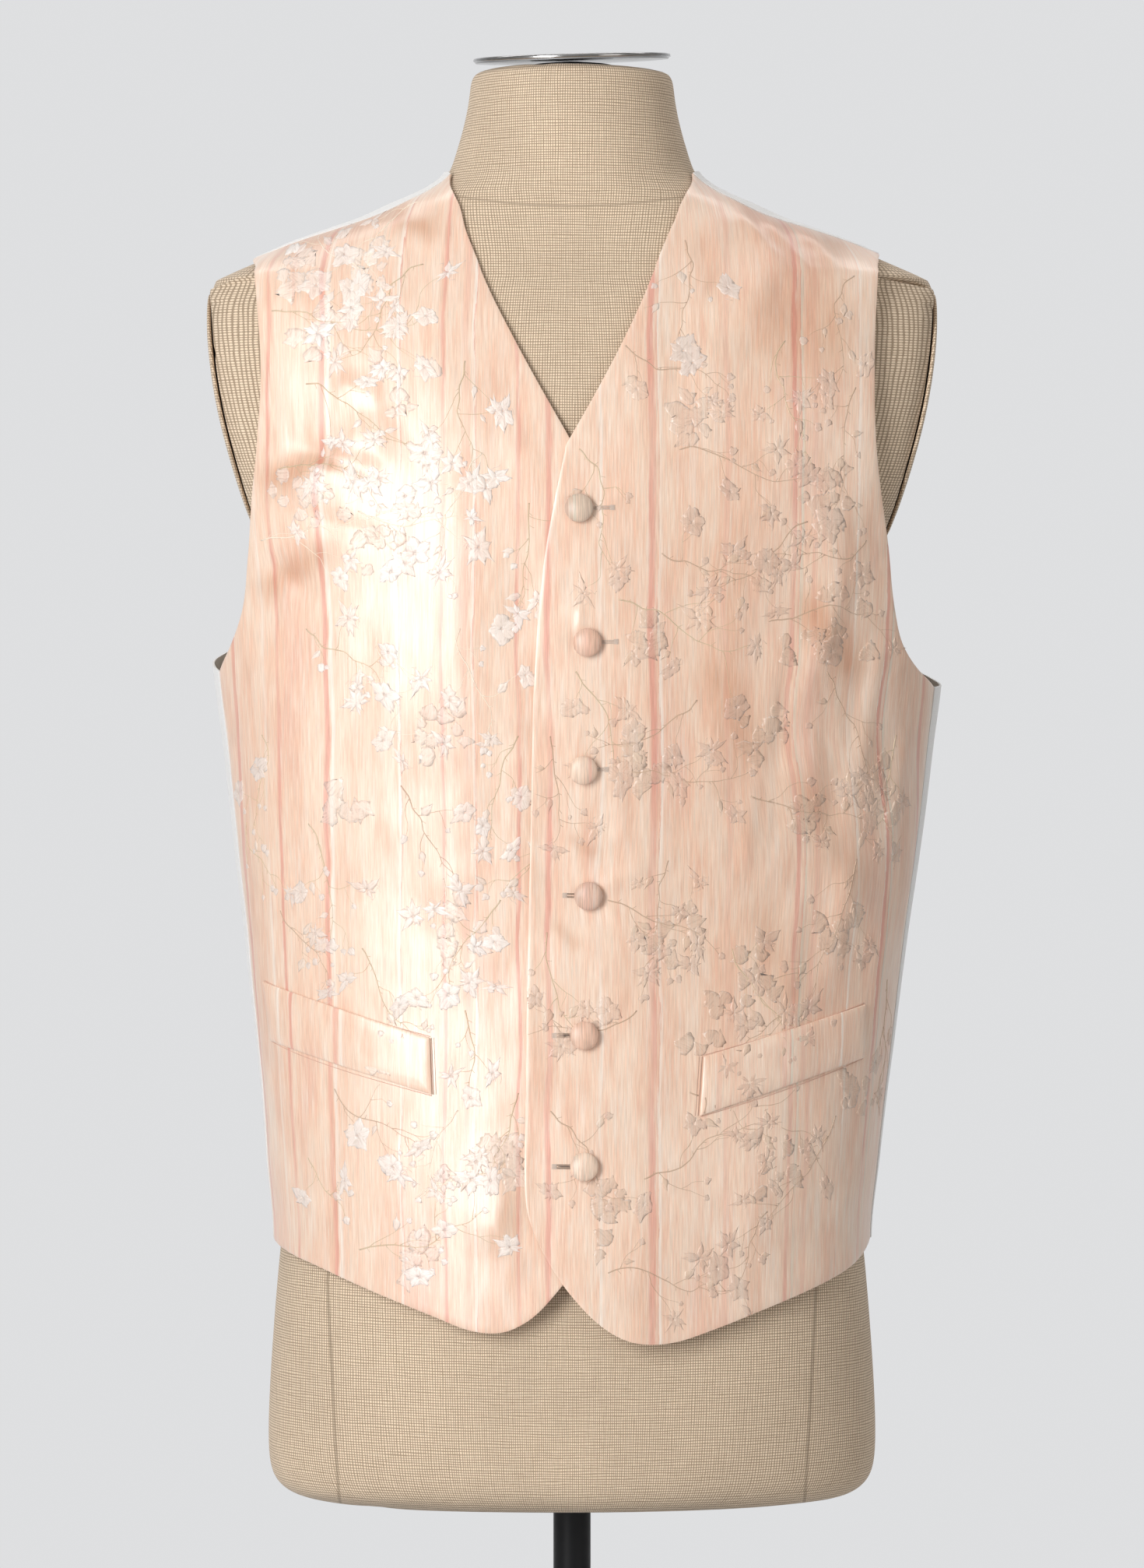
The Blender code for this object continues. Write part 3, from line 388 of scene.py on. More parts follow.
# Folds of the back, seen from behind: start x and z, end x and z, half breadth, height
backFolds = (
    (150.0, 800.0, 118.0, 600.0, 16.0, 2.6),
    (-150.0, 790.0, -124.0, 590.0, 15.0, 2.2),
    (96.0, 720.0, 70.0, 500.0, 18.0, 1.8),
    (-88.0, 700.0, -78.0, 470.0, 17.0, 2.0),
    (40.0, 880.0, 18.0, 640.0, 20.0, 1.2),
    (-30.0, 860.0, -22.0, 620.0, 18.0, 1.3),
    (6.0, 560.0, 14.0, 380.0, 16.0, 1.6),
    (-120.0, 520.0, -112.0, 370.0, 14.0, 1.5),
    (128.0, 520.0, 116.0, 380.0, 14.0, 1.3),
    (60.0, 930.0, 96.0, 850.0, 9.0, 0.9),
    (-64.0, 930.0, -98.0, 846.0, 9.0, 0.9),
    (172.0, 640.0, 150.0, 470.0, 10.0, 1.6),
    (-170.0, 636.0, -152.0, 480.0, 10.0, 1.5),
)

turnScale = 150.0
fullTurn = 2 * math.pi * turnScale


def smoothColumn(stations, values):
    stations = np.array(stations, float)
    values = np.array(values, float)
    steps = np.diff(stations)
    slopes = np.diff(values) / steps
    tangents = np.zeros(len(stations))
    tangents[0] = slopes[0]
    tangents[-1] = slopes[-1]
    for i in range(1, len(stations) - 1):
        if slopes[i - 1] * slopes[i] > 0:
            before = 2 * steps[i] + steps[i - 1]
            after = steps[i] + 2 * steps[i - 1]
            tangents[i] = (before + after) / (before / slopes[i - 1] + after / slopes[i])

    def valueAt(station):
        station = np.clip(station, stations[0], stations[-1])
        i = np.clip(np.searchsorted(stations, station) - 1, 0, len(stations) - 2)
        t = (station - stations[i]) / steps[i]
        rise = values[i] * (1 + 2 * t) * (1 - t) ** 2 + values[i + 1] * t * t * (3 - 2 * t)
        bend = tangents[i] * t * (1 - t) ** 2 - tangents[i + 1] * t * t * (1 - t)
        return rise + bend * steps[i]

    return valueAt


clothTable = {
    name: smoothColumn([row[0] for row in clothRows], [row[i] for row in clothRows])
    for i, name in enumerate(clothNames)
    if i
}


def ease(t):
    t = np.clip(t, 0.0, 1.0)
    return t * t * (3 - 2 * t)


def clothBase(turn, z):
    turn, z = np.broadcast_arrays(np.asarray(turn, float), np.asarray(z, float))
    across = np.sin(turn)
    along = -np.cos(turn)
    half = np.where(across >= 0, clothTable["left"](z), clothTable["right"](z))
    depth = np.where(along < 0, clothTable["front"](z), clothTable["back"](z))
    power = clothTable["power"](z)
    reach = (np.abs(across) / half) ** power + (np.abs(along) / depth) ** power
    radius = reach ** (-1.0 / power)
    return np.stack([radius * across, radius * along, z + 0.0 * radius], axis=-1)


def clothNormal(turn, z):
    smallTurn = 1e-3
    smallRise = 0.2
    around = clothBase(turn + smallTurn, z) - clothBase(turn - smallTurn, z)
    upward = clothBase(turn, z + smallRise) - clothBase(turn, z - smallRise)
    normal = np.cross(around, upward)
    return normal / np.linalg.norm(normal, axis=-1, keepdims=True)


def foldHeight(x, z, folds):
    height = np.zeros(np.broadcast(x, z).shape)
    for x0, z0, x1, z1, breadth, rise in folds:
        run = np.array([x1 - x0, z1 - z0])
        length = float(np.hypot(run[0], run[1]))
        along = ((x - x0) * run[0] + (z - z0) * run[1]) / length ** 2
        away = ((x - x0) * run[1] - (z - z0) * run[0]) / length
        fade = ease(along / 0.3) * ease((1 - along) / 0.3)
        height = height + rise * fade * np.exp(-((away / breadth) ** 2))
    return height


def softUnevenness(x, z):
    # The faint unevenness of satin that hangs on a form, in mm
    slow = np.sin(x / 23.0 + 1.3 * np.sin(z / 61.0)) * np.sin(z / 47.0 + x / 90.0)
    quick = np.sin(x / 9.5 + z / 70.0) * np.sin(z / 31.0 - x / 41.0 + 0.7)
    return 0.36 * slow + 0.16 * quick


def frontHeight(x, z, lifted):
    nearEdge = ease((np.abs(x) - 22.0) / 20.0)
    height = foldHeight(x, z, mainFolds) * nearEdge
    height = height + foldHeight(x, z, smallCreases) + softUnevenness(x, z)
    if lifted:
        reach = garment["overlapUntil"] - garment["overlapFrom"]
        lift = garment["frontWall"] + garment["overlapGap"]
        height = height + lift * ease((garment["overlapUntil"] - x) / reach)
    return height


def frontSurface(turn, z, out, lifted):
    point = clothBase(turn, z)
    height = frontHeight(point[..., 0], z, lifted)
    return point + clothNormal(turn, z) * (height + out)[..., None]


def turnOf(x, z):
    half = np.where(np.asarray(x) >= 0, clothTable["left"](z), clothTable["right"](z))
    power = clothTable["power"](z)
    part = np.clip(1 - (np.abs(x) / half) ** power, 1e-9, 1)
    return np.arctan2(x, clothTable["front"](z) * part ** (1 / power))


def heightOnShoulder(x, y):
    low, high = 880.0, 985.0
    for _ in range(50):
        z = 0.5 * (low + high)
        half = clothTable["left" if x >= 0 else "right"](z)
        depth = clothTable["front" if y < 0 else "back"](z)
        power = clothTable["power"](z)
        if (abs(x) / half) ** power + (abs(y) / depth) ** power > 1:
            high = z
        else:
            low = z
    return 0.5 * (low + high)


def chartFront(points):
    return [(float(turnOf(x, z)) * turnScale, z) for x, z in points]


def chartShoulder(points):
    return [(math.atan2(x, -y) * turnScale, heightOnShoulder(x, y)) for x, y in points]


def chartBack(points):
    chart = []
    for x, z in points:
        half = clothTable["left" if x >= 0 else "right"](z)
        power = clothTable["power"](z)
        depth = clothTable["back"](z) * (1 - (abs(x) / half) ** power) ** (1 / power)
        chart.append((math.atan2(x, -float(depth)) * turnScale, z))
    return chart


def chartTurns(points):
    return [(math.radians(turn) * turnScale, z) for turn, z in points]


def turnedRound(points):
    return [(turn + fullTurn, z) for turn, z in points]


def sideSeam(side, topZ):
    hemZ = garment["hemZ"]
    zs = np.linspace(hemZ, topZ, 9)
    lean = garment["sideTurnTop"] - garment["sideTurnHem"]
    turns = garment["sideTurnHem"] + lean * (zs - hemZ) / (topZ - hemZ)
    return [(side * math.radians(t) * turnScale, z) for t, z in zip(turns, zs)]


def curveSamples(points, fractions):
    # A smooth curve through the points, read at shares of its length
    points = np.array(points, float)
    padded = np.vstack([2 * points[0] - points[1], points, 2 * points[-1] - points[-2]])
    dense = []
    for i in range(1, len(padded) - 2):
        p0, p1, p2, p3 = padded[i - 1:i + 3]
        k0 = max(np.linalg.norm(p1 - p0) ** 0.5, 1e-6)
        k1 = max(np.linalg.norm(p2 - p1) ** 0.5, 1e-6)
        k2 = max(np.linalg.norm(p3 - p2) ** 0.5, 1e-6)
        m1 = k1 * ((p1 - p0) / k0 - (p2 - p0) / (k0 + k1) + (p2 - p1) / k1)
        m2 = k1 * ((p2 - p1) / k1 - (p3 - p1) / (k1 + k2) + (p3 - p2) / k2)
        for t in np.linspace(0, 1, 16, endpoint=False):
            rise = p1 * (1 + 2 * t) * (1 - t) ** 2 + p2 * t * t * (3 - 2 * t)
            dense.append(rise + m1 * t * (1 - t) ** 2 - m2 * t * t * (1 - t))
    dense.append(points[-1])
    dense = np.array(dense)
    reach = np.concatenate([[0], np.cumsum(np.linalg.norm(np.diff(dense, axis=0), axis=1))])
    wanted = np.asarray(fractions) * reach[-1]
    return np.stack([np.interp(wanted, reach, dense[:, k]) for k in (0, 1)], axis=-1)


def joinedCurve(parts):
    samples = [curveSamples(points, fractions) for points, fractions in parts]
    return np.vstack([samples[0]] + [part[1:] for part in samples[1:]])


def coons(bottom, top, start, end, hold=0.0):
    # Fills a panel between its four edges; hold keeps the bottom's shape for that share of the way
    reach = np.concatenate([[0], np.cumsum(np.linalg.norm(np.diff(bottom, axis=0), axis=1))])
    across = reach / reach[-1]
    rise = np.linspace(0, 1, len(start))
    u = across[None, :, None]
    v = ((rise - hold) / (1 - hold)).clip(0, 1)[:, None, None]
    if hold:
        v = ease(v)
    sides = (1 - u) * start[:, None, :] + u * end[:, None, :]
    ends = (1 - v) * bottom[None, :, :] + v * top[None, :, :]
    corners = (
        (1 - u) * (1 - v) * bottom[0] + u * (1 - v) * bottom[-1]
        + (1 - u) * v * top[0] + u * v * top[-1]
    )
    return sides + ends - corners


def awayFromSurface(point):
    x, y, z = point[..., 0], point[..., 1], point[..., 2]
    half = np.where(x >= 0, clothTable["left"](z), clothTable["right"](z))
    depth = np.where(y < 0, clothTable["front"](z), clothTable["back"](z))
    power = clothTable["power"](z)
    return ((np.abs(x) / half) ** power + (np.abs(y) / depth) ** power) ** (1 / power) - 1


def surfaceSlope(point):
    slope = np.zeros_like(point)
    for axis in range(3):
        step = np.zeros(3)
        step[axis] = 0.05
        slope[..., axis] = (awayFromSurface(point + step) - awayFromSurface(point - step)) / 0.1
    return slope


def ontoSurface(point):
    for _ in range(25):
        slope = surfaceSlope(point)
        move = awayFromSurface(point) / np.sum(slope ** 2, axis=-1)
        step = slope * move[..., None]
        length = np.linalg.norm(step, axis=-1, keepdims=True)
        point = point - step * np.minimum(1.0, 12.0 / np.maximum(length, 1e-9))
    return point


def even(count):
    return np.linspace(0, 1, count + 1)


def closerToEnd(count, strength=1.3):
    return 1 - (1 - np.linspace(0, 1, count + 1)) ** strength


def pullEdge(grid, rows, columns, stepRow, stepColumn):
    # Moves one seam edge of a panel back by half the seam gap
    here = grid[rows, columns]
    away = grid[np.add(rows, stepRow), np.add(columns, stepColumn)] - here
    length = np.linalg.norm(away, axis=-1, keepdims=True)
    grid[rows, columns] = here + away / np.maximum(length, 1e-9) * garment["seamGap"] / 2


def shellFaces(rows, columns, active=None):
    # Quads of the outer grid, the inner grid turned over, and the wall round their free edges
    if active is None:
        active = np.ones((rows - 1, columns - 1), bool)
    count = rows * columns
    r, c = np.nonzero(active)
    a = r * columns + c
    cells = np.stack([a, a + 1, a + columns + 1, a + columns], axis=-1)
    sides = set()
    for k in range(4):
        sides |= set(zip(cells[:, k].tolist(), cells[:, (k + 1) % 4].tolist()))
    rim = [(b, a, a + count, b + count) for a, b in sorted(sides) if (b, a) not in sides]
    return cells.tolist() + (cells[:, ::-1] + count).tolist() + rim


def makePiece(name, points, faces, material, layers=None, values=None):
    # points in mm; layers are UV maps in mm, values are numbers kept on the points
    points = np.asarray(points, float).reshape(-1, 3)
    used = np.unique(np.concatenate([np.asarray(face).ravel() for face in faces]))
    order = np.zeros(len(points), int)
    order[used] = np.arange(len(used))
    mesh = bpy.data.meshes.new(name)
    mesh.from_pydata((points[used] * mm).tolist(), [], [[int(order[i]) for i in face] for face in faces])
    corners = np.zeros(len(mesh.loops), np.int32)
    mesh.loops.foreach_get("vertex_index", corners)
    for layerName, flat in (layers or {}).items():
        flat = np.asarray(flat, float).reshape(-1, 2)[used] * mm
        layer = mesh.uv_layers.new(name=layerName)
        layer.data.foreach_set("uv", flat[corners].astype(np.float32).ravel())
    for valueName, amounts in (values or {}).items():
        amounts = np.asarray(amounts, float)
        if amounts.shape[-1] == 3 and amounts.ndim > 1:
            tinted = mesh.color_attributes.new(valueName, "FLOAT_COLOR", "POINT")
            rgba = np.hstack([amounts.reshape(-1, 3)[used], np.ones((len(used), 1))])
            tinted.data.foreach_set("color", rgba.astype(np.float32).ravel())
        else:
            plain = mesh.attributes.new(valueName, "FLOAT", "POINT")
            plain.data.foreach_set("value", amounts.ravel()[used].astype(np.float32))
    mesh.polygons.foreach_set("use_smooth", np.ones(len(mesh.polygons), bool))
    mesh.materials.append(material)
    mesh.update()
    piece = bpy.data.objects.new(name, mesh)
    bpy.context.scene.collection.objects.link(piece)
    return piece


def declare(piece, node=None):
    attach(piece, "root")
    if node:
        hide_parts(node)
    return piece


def turnInsideOutIfNeeded(piece):
    mesh = piece.data
    volume = 0.0
    for face in mesh.polygons:
        volume += face.center.dot(face.normal) * face.area
    if volume < 0:
        mesh.flip_normals()


def makeShell(name, outer, inner, faces, material, flat, width, values=None):
    # A cloth wall between two grids of points, with its turned edges softened by that width in mm
    points = np.concatenate([outer.reshape(-1, 3), inner.reshape(-1, 3)])
    flat = np.concatenate([flat.reshape(-1, 2), flat.reshape(-1, 2)])
    piece = makePiece(name, points, faces, material, {"cloth": flat}, values)
    turnInsideOutIfNeeded(piece)
    makeActive(piece)
    bevel = piece.modifiers.new("turned_edge", "BEVEL")
    bevel.width = width * mm
    bevel.segments = 3
    bevel.limit_method = "ANGLE"
    bevel.angle_limit = math.radians(55)
    bevel.harden_normals = False
    bpy.ops.object.modifier_apply(modifier=bevel.name)
    return piece


# Arc length from the centre front at each height, so that stripes and motifs keep their scale
arcLevels = np.linspace(290.0, 985.0, 140)
arcTurns = np.radians(np.linspace(-110.0, 110.0, 221))
arcGrid = clothBase(arcTurns[None, :], arcLevels[:, None])
arcSteps = np.linalg.norm(np.diff(arcGrid, axis=1), axis=-1)
arcTable = np.concatenate([np.zeros((len(arcLevels), 1)), np.cumsum(arcSteps, axis=1)], axis=1)
arcTable = arcTable - arcTable[:, 110:111]


def arcAt(turn, z):
    level = np.clip((z - arcLevels[0]) / (arcLevels[1] - arcLevels[0]), 0, len(arcLevels) - 1.001)
    column = np.clip((turn - arcTurns[0]) / (arcTurns[1] - arcTurns[0]), 0, len(arcTurns) - 1.001)
    i = level.astype(int)
    j = column.astype(int)
    s = level - i
    t = column - j
    low = arcTable[i, j] * (1 - t) + arcTable[i, j + 1] * t
    high = arcTable[i + 1, j] * (1 - t) + arcTable[i + 1, j + 1] * t
    return low * (1 - s) + high * s


def turnAtArc(arc, z):
    arc = np.asarray(arc, float)
    z = np.asarray(z, float) + 0.0 * arc
    level = np.clip((z - arcLevels[0]) / (arcLevels[1] - arcLevels[0]), 0, len(arcLevels) - 1.001)
    i = level.astype(int)
    s = level - i
    turn = np.zeros(arc.shape)
    for k in np.unique(i):
        here = i == k
        low = np.interp(arc[here], arcTable[k], arcTurns)
        high = np.interp(arc[here], arcTable[k + 1], arcTurns)
        turn[here] = low * (1 - s[here]) + high * s[here]
    return turn


# Where the woven stripes waver: middle x and z, reach in x and z, shift
stripeWaver = (
    (120.0, 650.0, 34.0, 42.0, 4.5),
    (132.0, 570.0, 36.0, 40.0, -4.0),
    (176.0, 640.0, 26.0, 46.0, 6.0),
    (182.0, 560.0, 26.0, 40.0, -4.0),
    (90.0, 720.0, 28.0, 34.0, 2.6),
    (-152.0, 770.0, 34.0, 26.0, 3.6),
    (-120.0, 800.0, 30.0, 24.0, -3.0),
    (16.0, 560.0, 20.0, 26.0, 2.4),
    (-70.0, 640.0, 40.0, 60.0, 1.6),
)


def stripePlace(turn, z):
    x = clothBase(turn, z)[..., 0]
    shift = np.zeros(x.shape)
    for midX, midZ, reachX, reachZ, amount in stripeWaver:
        shift += amount * np.exp(-((x - midX) / reachX) ** 2 - ((z - midZ) / reachZ) ** 2)
    return np.stack([arcAt(turn, z) + shift, z + 0.0 * x], axis=-1)


# Materials
def startMaterial(name, roughness, sheen=0.0, specular=0.5):
    material = bpy.data.materials.new(name)
    material.use_nodes = True
    tree = material.node_tree
    shader = tree.nodes["Principled BSDF"]
    shader.inputs["Roughness"].default_value = roughness
    shader.inputs["Sheen Weight"].default_value = sheen
    shader.inputs["Specular IOR Level"].default_value = specular
    return material, tree, shader


def addNode(tree, kind, **settings):
    node = tree.nodes.new(kind)
    for name, value in settings.items():
        setattr(node, name, value)
    return node


def mathNode(tree, operation, first, second=None, clamp=False):
    node = addNode(tree, "ShaderNodeMath", operation=operation, use_clamp=clamp)
    for socket, value in zip(node.inputs, (first, second)):
        if value is None:
            continue
        if isinstance(value, (int, float)):
            socket.default_value = value
        else:
            tree.links.new(value, socket)
    return node.outputs[0]


def times(tree, first, second):
    return mathNode(tree, "MULTIPLY", first, second)


def plus(tree, first, second):
    return mathNode(tree, "ADD", first, second)


def keptOnPoints(tree, name, output="Fac"):
    return addNode(tree, "ShaderNodeAttribute", attribute_name=name).outputs[output]


def onMap(tree, name):
    return addNode(tree, "ShaderNodeUVMap", uv_map=name).outputs["UV"]


def stretchedNoise(tree, coordinates, scale, detail=3.0, roughness=0.55):
    mapping = addNode(tree, "ShaderNodeMapping")
    mapping.inputs["Scale"].default_value = scale
    tree.links.new(coordinates, mapping.inputs["Vector"])
    noise = addNode(tree, "ShaderNodeTexNoise")
    noise.inputs["Scale"].default_value = 1.0
    noise.inputs["Detail"].default_value = detail
    noise.inputs["Roughness"].default_value = roughness
    tree.links.new(mapping.outputs["Vector"], noise.inputs["Vector"])
    return noise.outputs["Fac"]


def ramp(tree, value, stops, interpolation="LINEAR"):
    node = addNode(tree, "ShaderNodeValToRGB")
    node.color_ramp.interpolation = interpolation
    elements = node.color_ramp.elements
    while len(elements) > 1:
        elements.remove(elements[0])
    for i, (place, color) in enumerate(stops):
        element = elements[0] if i == 0 else elements.new(place)
        element.position = place
        shade = (color, color, color) if isinstance(color, (int, float)) else color
        element.color = (*shade, 1)
    tree.links.new(value, node.inputs["Fac"])
    return node.outputs["Color"]


def mixColor(tree, amount, first, second, blend="MIX"):
    node = addNode(tree, "ShaderNodeMix", data_type="RGBA", blend_type=blend)
    sockets = {"Factor": amount, "A": first, "B": second}
    inputs = {"Factor": node.inputs[0], "A": node.inputs[6], "B": node.inputs[7]}
    for name, value in sockets.items():
        if isinstance(value, (int, float)):
            inputs[name].default_value = value
        elif isinstance(value, tuple):
            inputs[name].default_value = (*value, 1)
        else:
            tree.links.new(value, inputs[name])
    return node.outputs[2]


satin = {
    "cream": (0.90, 0.665, 0.505),
    "peach": (0.87, 0.575, 0.415),
    "tan": (0.79, 0.52, 0.37),
    "rose": (0.84, 0.52, 0.39),
    "salmon": (0.77, 0.35, 0.265),
    "greyGreen": (0.76, 0.68, 0.56),
    "white": (0.93, 0.82, 0.72),
    # Colour that the painted shade multiplies in
    "paintedShadeTint": (0.78, 0.64, 0.55),
    "halfWidth": 260.0,  # mm of cloth that the band ramp covers on each side of the middle
    "roughness": 0.36,
    "sheen": 0.35,
    "specular": 0.9,
    "coat": 0.34,
    "coatRoughness": 0.33,
    "slackScale": (21.0, 15.0, 1.0),
    "slack": 0.0042,  # m of slow unevenness that breaks up the gloss
    # Woven bands: place from the centre front, half breadth, kind
    "bands": (
        (-214.0, 2.4, "salmon"), (-187.0, 1.2, "white"), (-176.0, 1.5, "salmon"),
        (-143.0, 1.9, "salmon"), (-139.5, 1.1, "white"), (-98.0, 0.9, "white"),
        (-72.0, 1.3, "salmon"), (-59.0, 2.3, "rose"), (-54.5, 1.1, "white"),
        (-30.0, 1.0, "salmon"), (-13.0, 1.9, "salmon"), (16.0, 1.0, "white"),
        (45.0, 2.5, "salmon"), (49.5, 1.1, "white"), (88.0, 1.9, "rose"),
        (127.0, 2.0, "salmon"), (131.5, 1.4, "greyGreen"), (139.0, 1.6, "rose"),
        (166.0, 1.0, "white"), (190.0, 2.1, "salmon"), (194.5, 1.3, "greyGreen"),
        (226.0, 2.2, "salmon"),
    ),
}


def streakColor(tree, mapName="cloth"):
    # Fine vertical streaks and broader woven bands in salmon, cream and grey-green
    place = onMap(tree, mapName)
    broad = stretchedNoise(tree, place, (26.0, 5.0, 1.0), 4.0, 0.6)
    middle = stretchedNoise(tree, place, (170.0, 13.0, 1.0), 5.0, 0.68)
    fine = stretchedNoise(tree, place, (850.0, 34.0, 1.0), 4.0, 0.7)
    hair = stretchedNoise(tree, place, (2400.0, 60.0, 1.0), 2.0, 0.6)
    ground = ramp(tree, broad, (
        (0.30, satin["tan"]), (0.42, satin["peach"]), (0.50, satin["cream"]), (0.58, satin["peach"]),
        (0.70, satin["rose"]),
    ))
    streaks = plus(tree, times(tree, middle, 0.4), times(tree, fine, 0.6))
    paler = ramp(tree, streaks, ((0.47, 0.0), (0.62, 1.0)))
    color = mixColor(tree, times(tree, paler, 0.52), ground, satin["white"])
    redder = ramp(tree, streaks, ((0.36, 1.0), (0.48, 0.0)))
    color = mixColor(tree, times(tree, redder, 0.3), color, satin["salmon"])
    split = addNode(tree, "ShaderNodeSeparateXYZ")
    tree.links.new(place, split.inputs[0])
    ragged = times(tree, mathNode(tree, "SUBTRACT", fine, 0.5), 0.0042)
    wander = stretchedNoise(tree, place, (3.0, 9.0, 1.0), 2.0)
    drift = times(tree, mathNode(tree, "SUBTRACT", wander, 0.5), 0.009)
    shifted = plus(tree, plus(tree, split.outputs["X"], ragged), drift)
    half = satin["halfWidth"] * mm
    present = ramp(tree, stretchedNoise(tree, place, (60.0, 7.0, 1.0), 3.0), ((0.36, 0.35), (0.54, 1.0)))
    for side in (-1, 1):
        spread = mathNode(tree, "DIVIDE", times(tree, shifted, float(side)), half, clamp=True)
        bands = sorted((abs(b[0]), b[1], b[2]) for b in satin["bands"] if b[0] * side > 0)
        # A ramp holds at most 32 stops, so the bands go in by groups of six
        for group in (bands[:6], bands[6:]):
            amountStops = [(0.0, 0.0)]
            colorStops = []
            for middlePlace, breadth, kind in group:
                at = middlePlace / satin["halfWidth"]
                reach = breadth / satin["halfWidth"]
                amountStops += [(at - reach, 0.0), (at - 0.55 * reach, 1.0)]
                amountStops += [(at + 0.55 * reach, 1.0), (at + reach, 0.0)]
                colorStops.append((at - reach, satin[kind]))
            bandAmount = ramp(tree, spread, amountStops)
            bandColor = ramp(tree, spread, colorStops, "CONSTANT")
            amount = times(tree, times(tree, bandAmount, present), 0.85)
            color = mixColor(tree, amount, color, bandColor)
    hairlines = ramp(tree, hair, ((0.35, 0.86), (0.62, 1.04)))
    color = mixColor(tree, 1.0, color, hairlines, "MULTIPLY")
    # Painted shade: the colour darkened by the amount kept on the points
    painted_shade = keptOnPoints(tree, "painted_shade")
    color = mixColor(tree, painted_shade, color, satin["paintedShadeTint"], "MULTIPLY")
    return color, fine, hair, place


def threadBump(tree, shader, heights, strength, distance, slack=None):
    # slack is a slow unevenness under the threads
    bump = addNode(tree, "ShaderNodeBump")
    bump.inputs["Strength"].default_value = strength
    bump.inputs["Distance"].default_value = distance
    tree.links.new(heights, bump.inputs["Height"])
    tree.links.new(bump.outputs["Normal"], shader.inputs["Normal"])
    if slack is not None:
        under = addNode(tree, "ShaderNodeBump")
        under.inputs["Strength"].default_value = 1.0
        under.inputs["Distance"].default_value = satin["slack"]
        tree.links.new(slack, under.inputs["Height"])
        tree.links.new(under.outputs["Normal"], bump.inputs["Normal"])


def satinMaterial(name, roughness):
    material, tree, shader = startMaterial(name, roughness, satin["sheen"], satin["specular"])
    shader.inputs["Coat Weight"].default_value = satin["coat"]
    shader.inputs["Coat Roughness"].default_value = satin["coatRoughness"]
    color, fine, hair, place = streakColor(tree)
    tree.links.new(color, shader.inputs["Base Color"])
    threads = plus(tree, times(tree, fine, 0.6), times(tree, hair, 0.4))
    slack = stretchedNoise(tree, place, satin["slackScale"], 2.0, 0.4)
    threadBump(tree, shader, threads, 0.35, 0.00035, slack)
    return material


def motifMaterial(name, roughness):
    # The woven blossoms: their own tint laid over the streaks, crinkled along each petal
    material, tree, shader = startMaterial(name, roughness, 0.35, 0.6)
    color, fine, hair, place = streakColor(tree)
    tint = keptOnPoints(tree, "tint", "Color")
    veil = keptOnPoints(tree, "veil")
    rim = keptOnPoints(tree, "rim")
    petal = onMap(tree, "petal")
    crinkle = stretchedNoise(tree, petal, (900.0, 160.0, 1.0), 3.0, 0.6)
    ragged = times(tree, veil, ramp(tree, crinkle, ((0.30, 0.72), (0.55, 1.0))))
    color = mixColor(tree, ragged, color, tint)
    lines = ramp(tree, crinkle, ((0.36, 0.86), (0.50, 1.03)))
    color = mixColor(tree, 1.0, color, lines, "MULTIPLY")
    outline = times(tree, ramp(tree, rim, ((0.45, 0.0), (0.8, 1.0), (0.98, 0.0))),
                       ramp(tree, crinkle, ((0.50, 0.0), (0.62, 0.55))))
    color = mixColor(tree, outline, color, (0.95, 0.88, 0.82))
    tree.links.new(color, shader.inputs["Base Color"])
    slack = stretchedNoise(tree, place, satin["slackScale"], 2.0, 0.4)
    threadBump(tree, shader, crinkle, 0.55, 0.0005, slack)
    return material


def whiteSatinMaterial():
    material, tree, shader = startMaterial("white_back_satin", 0.38, 0.3, 0.5)
    place = onMap(tree, "cloth")
    fine = stretchedNoise(tree, place, (1500.0, 40.0, 1.0), 3.0)
    cross = stretchedNoise(tree, place, (60.0, 1800.0, 1.0), 2.0)
    slow = stretchedNoise(tree, place, (9.0, 7.0, 1.0), 2.0)
    weave = plus(tree, times(tree, fine, 0.7), times(tree, cross, 0.3))
    color = ramp(tree, weave, ((0.35, (0.79, 0.785, 0.775)), (0.62, (0.86, 0.86, 0.855))))
    color = mixColor(tree, 1.0, color, ramp(tree, slow, ((0.3, 0.96), (0.7, 1.0))), "MULTIPLY")
    tree.links.new(color, shader.inputs["Base Color"])
    threadBump(tree, shader, weave, 0.25, 0.0003)
    return material


linen = {
    "thread": 1.5,  # mm from one thread to the next
    "light": (0.86, 0.70, 0.53),
    "dark": (0.27, 0.19, 0.12),
    "seam": (0.20, 0.14, 0.09),
    "farFromSeam": 99.0,  # mm, where none is near
    "neckSeamZ": 939.5,
}


